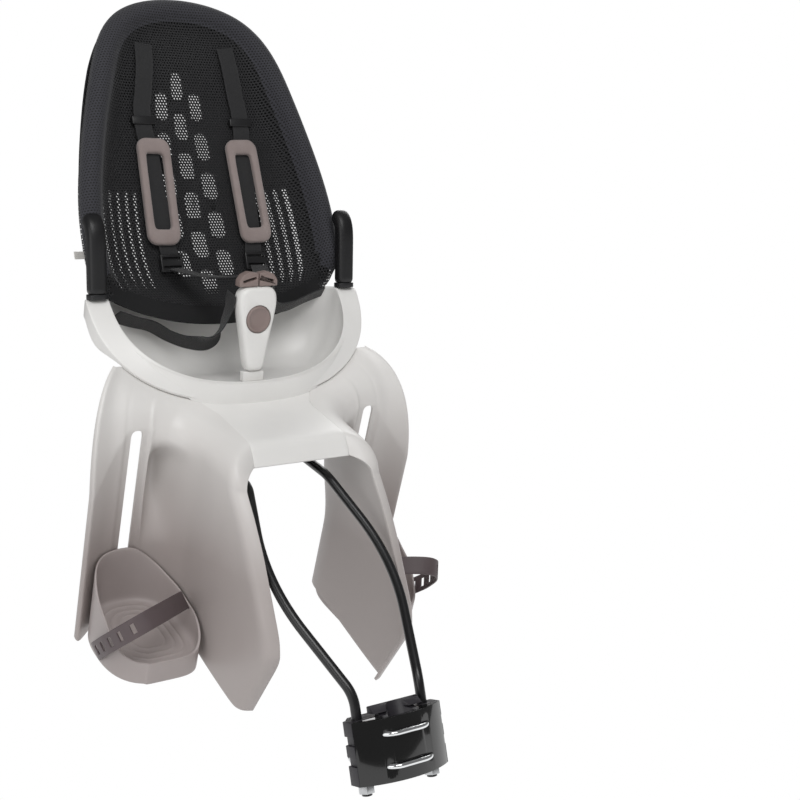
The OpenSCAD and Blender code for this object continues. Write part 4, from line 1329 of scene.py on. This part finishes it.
buttonProfile = [(0.2, 0.9), (5, 0.8), (9, 0.5), (11.5, 0.1), (13.2, -0.7), (14.4, -1.4), (15.4, -1.6),
                 (16.4, -1.3), (17.2, -0.5), (17.7, 0.5), (17.9, 1.6), (17.9, 3.4), (17, 3.5), (8, 3.5),
                 (0.2, 3.5)]


def buttonSurface(row, column):
    r, y = buttonProfile[asRow(row, len(buttonProfile) - 1)]
    angle = column * 2 * math.pi
    return Vector((r * math.cos(angle), y, buckle["buttonAt"] + r * math.sin(angle)))


def makeButton():
    obj = gridPiece(buttonSurface, len(buttonProfile) - 1, 72, place_=buckleFrame, closed=True)
    capLast(obj, 2)
    rightSideOut(obj)
    smoothShade(obj, 40)
    return finishPiece(obj, "buckle_button", buttonTaupe, "buckle_button")


makeButton()
nodeCopy("buckle_clip", shellWhite, 0.0012)
nodeCopy("left_tongue", buttonTaupe, 0.0016)
nodeCopy("right_tongue", buttonTaupe, 0.0016)
print("buckle made")

# Harness webbing, glides, pads and adjusters

harness = {"width": 25, "thick": 1.6, "padLength": 150, "padWidth": 50, "padCorner": 14}


def strapY(h):
    return panelY(h) + curl(h) - 5


# x and height up the back
shoulderPoints = [(63, 351), (66, 320), (71, 284), (75, 262), (75, 230), (71.5, 200), (69.5, 140), (67.5, 80),
                  (65, 60), (65, 36)]


def toSeat(x, y, z):
    return Matrix.Translation(place["backAt"]) @ turnX(-place["recline"]) @ Vector((x, y, z))


def makeStraps():
    path = [(x, strapY(h), h) for x, h in shoulderPoints]
    obj = bandPiece(path, (-1, 0, 0), harness["width"], harness["thick"], 150, place_=backFrame)
    bothSides(obj, "shoulder_strap", webbing)
    start, end = toSeat(65, strapY(40) - 9.5, 38), Vector((20, -66, 28))
    path = [start.lerp(end, k / 14) + Vector((0, 0, -5 * math.sin(math.pi * k / 14))) for k in range(15)]
    obj = bandPiece(path, (-1, 0.35, 0), harness["width"] * 0.92, harness["thick"], 60)
    bothSides(obj, "lower_strap", webbing)
    right = [(-158, 22, -24), (-128, 31, -34), (-100, 32, -42), (-76, 28, -56), (-56, 12, -64),
             (-42, -12, -62), (-35.5, -36, -44), (-31, -54, -16), (-30.1, -62, 6)]
    left = [(150, -2, -4), (125, 0, -12), (95, 0, -22), (66, -4, -22), (46, -22, -8), (34, -44, 4),
            (27, -62, 6)]
    for side, route in (("left", left), ("right", right)):
        obj = bandPiece(route, (0, -0.8, 0.6), harness["width"], harness["thick"], 110)
        finishPiece(obj, side + "_waist_strap", webbing)


makeStraps()
for side in ("left", "right"):
    nodeCopy(side + "_strap_glide", buckleBlack, 0.0011)
    nodeCopy(side + "_adjuster", buckleBlack, 0.001)


def padOutline(angle, halfWidth, halfLength, corner):
    # a point of a rounded rectangle, by the angle from its middle
    reach = 3000.0
    p = Vector((math.cos(angle) * reach, math.sin(angle) * reach))
    w, l = halfWidth - corner, halfLength - corner
    k = min(halfWidth / max(abs(p.x), 1e-6), halfLength / max(abs(p.y), 1e-6))
    x, y = p.x * k, p.y * k
    if abs(x) > w and abs(y) > l:
        d = Vector((math.cos(angle), math.sin(angle)))
        cx, cy = math.copysign(w, x), math.copysign(l, y)
        b = d.x * cx + d.y * cy
        c = cx * cx + cy * cy - corner * corner
        r = b + math.sqrt(max(0, b * b - c))
        x, y = d.x * r, d.y * r
    return x, y


def padAngles():
    # even steps round the outline, given as angles
    count = 720
    size = harness["padWidth"] / 2, harness["padLength"] / 2, harness["padCorner"]
    spots = [padOutline(2 * math.pi * k / count, *size) for k in range(count)]
    run = [0.0]
    for k in range(count):
        a, b = spots[k], spots[(k + 1) % count]
        run.append(run[-1] + math.hypot(a[0] - b[0], a[1] - b[1]))
    angles = []
    for j in range(128):
        t = run[-1] * j / 128
        k = next(i for i in range(count) if run[i + 1] >= t)
        angles.append(2 * math.pi * (k + (t - run[k]) / (run[k + 1] - run[k])) / count)
    return angles


def swell(obj, pressure, cap):  # the padding presses its cover outwards, each point by no more than cap
    scene_ = bpy.context.scene
    start = [v.co.copy() for v in obj.data.vertices]
    modifier = obj.modifiers.new("stuffing", "CLOTH")
    cloth = modifier.settings
    cloth.quality = 6
    cloth.mass = 0.2
    cloth.tension_stiffness = 30
    cloth.compression_stiffness = 30
    cloth.bending_stiffness = 2
    cloth.use_pressure = True
    cloth.uniform_pressure_force = pressure
    cloth.effector_weights.gravity = 0
    modifier.point_cache.frame_start = 1
    modifier.point_cache.frame_end = 20
    for number in range(1, 21):
        scene_.frame_set(number)
    swollen = obj.evaluated_get(bpy.context.evaluated_depsgraph_get()).to_mesh()
    for vertex, was, now in zip(obj.data.vertices, start, [v.co.copy() for v in swollen.vertices]):
        move = now - was
        vertex.co = was + move * min(1.0, cap / max(move.length, 1e-9))
    obj.modifiers.remove(modifier)
    scene_.frame_set(1)


padLean = Matrix.Rotation(math.radians(-1.5), 4, "Y")
padTurn = Matrix.Translation((69.5, strapY(150) - 0.3, 146)) @ padLean @ turnX(90)
padFrame = backFrame @ padTurn
# share of the way from the inner edge to the outer one, and height
padSection = [(1.0, 1.2), (1.0, 4), (0.98, 6.6), (0.9, 8.2), (0.75, 9), (0.5, 9.3), (0.25, 9), (0.1, 8.2),
              (0.02, 6.6), (0, 4), (0, 1.2), (0.1, 0.3), (0.5, 0), (0.9, 0.3)]


def makePads():
    angles = padAngles()
    width, length = harness["padWidth"], harness["padLength"]

    def surface(row, column):
        share, z = padSection[asRow(row, len(padSection)) % len(padSection)]
        angle = angles[asRow(column, len(angles)) % len(angles)]
        outer = padOutline(angle, width / 2 - 0.9, length / 2 - 0.9, harness["padCorner"])
        inner = padOutline(angle, width * 0.24 + 0.9, length / 2 - 22.4, 5)
        return Vector((mix(inner[0], outer[0], share), mix(inner[1], outer[1], share), z))

    obj = gridPiece(surface, len(padSection), len(angles), place_=padFrame, closed=True)
    rightSideOut(obj)
    swell(obj, 4, 0.0012)
    addSubdivision(obj, 1)
    applyAll(obj)
    smoothShade(obj, 70)
    pair = bothSides(obj, "shoulder_pad", padFabric)


makePads()


def makeSideTab():
    def surface(row, column):
        x = -back["footWidth"] - 5.6 + 14 * (column - 0.5)
        return Vector((x, 8 + 0.5 * math.sin(column * 3), 60 + 10 * (row - 0.5)))

    obj = gridPiece(surface, 10, 14, place_=backFrame)
    addWall(obj, 0.0011, 0.0)
    addBevel(obj, 0.0003, 2, 50)
    applyAll(obj)
    rightSideOut(obj)
    smoothShade(obj, 50)
    return finishPiece(obj, "side_tab", tabFabric)


makeSideTab()
print("harness made")

# Runners of the foot cups

for side in ("left", "right"):
    body = side + "_foot_cup"
    nodeCopy(side + "_cup_slider", backBlack, 0.0008, body)
    nodeCopy(side + "_slider_plate", backBlack, 0.0008, body)
    nodeCopy(side + "_slider_screws", zincSteel, 0.0004, body, angle=50)

# Floor, light and camera

stage = {"floor": -0.36, "size": 12}
view = {
    "at": (-0.80524, -1.07842, 0.63375), "down": 9.9524, "turn": -30.3776, "lens": 55.599, "shift": 0.1775,
}
# place, aim, size and watts
lights = {
    "key": ((-0.6, -1.6, 2.4), (0, 0.3, 0.4), (1.6, 1.2), 30),
    "fill": ((-2.0, -0.6, 0.9), (0, 0.3, 0.4), (1.4, 1.4), 9),
    "rim": ((1.6, 1.6, 1.6), (0, 0.4, 0.5), (1.2, 1.2), 16),
}


def makeStage():
    clearSelection()
    bpy.ops.mesh.primitive_plane_add(size=stage["size"], location=(0, 0, stage["floor"]))
    obj = active()
    obj.name = "floor"
    settle(obj)
    material, tree, shader = newMaterial("floorPale", 0.9)
    shader.inputs["Base Color"].default_value = (0.86, 0.86, 0.86, 1)
    path = tree.nodes.new("ShaderNodeLightPath")
    glow = tree.nodes.new("ShaderNodeEmission")
    glow.inputs["Color"].default_value = (1, 1, 1, 1)
    glow.inputs["Strength"].default_value = 1.0
    blend = tree.nodes.new("ShaderNodeMixShader")
    seen = mathNode(tree, "MAXIMUM", path.outputs["Is Camera Ray"], mathNode(
        tree, "MAXIMUM", path.outputs["Is Glossy Ray"], path.outputs["Is Transmission Ray"]))
    tree.links.new(seen, blend.inputs["Fac"])
    tree.links.new(shader.outputs["BSDF"], blend.inputs[1])
    tree.links.new(glow.outputs["Emission"], blend.inputs[2])
    tree.links.new(blend.outputs["Shader"], tree.nodes["Material Output"].inputs["Surface"])
    obj.data.materials.append(material)


def makeWorld():
    world = bpy.data.worlds.new("studio")
    bpy.context.scene.world = world
    world.use_nodes = True
    tree = world.node_tree
    background = tree.nodes["Background"]
    path = tree.nodes.new("ShaderNodeLightPath")
    soft = mathNode(tree, "MULTIPLY_ADD", path.outputs["Is Glossy Ray"], -0.28, 0.46)
    strength = mathNode(tree, "MAXIMUM", path.outputs["Is Camera Ray"], soft)
    background.inputs["Color"].default_value = (1, 1, 1, 1)
    tree.links.new(strength, background.inputs["Strength"])


def addLight(name, place_, aim, size, watts):
    bpy.ops.object.light_add(type="AREA", location=place_)
    light = active()
    light.name = name
    light.data.name = name
    light.data.shape = "RECTANGLE"
    light.data.size, light.data.size_y = size
    light.data.energy = watts
    light.rotation_euler = (Vector(aim) - Vector(place_)).to_track_quat("-Z", "Y").to_euler()
    return light


def makeCamera():
    bpy.ops.object.camera_add(location=view["at"])
    camera = active()
    camera.name = "camera"
    camera.rotation_euler = (math.radians(90 - view["down"]), 0, math.radians(view["turn"]))
    camera.data.lens = view["lens"]
    camera.data.sensor_width = 36
    camera.data.shift_x = view["shift"]
    camera.data.clip_start = 0.05
    bpy.context.scene.camera = camera


makeStage()
makeWorld()
for name, values in lights.items():
    addLight(name, *values)
makeCamera()
scene = bpy.context.scene
scene.view_settings.view_transform = "Standard"
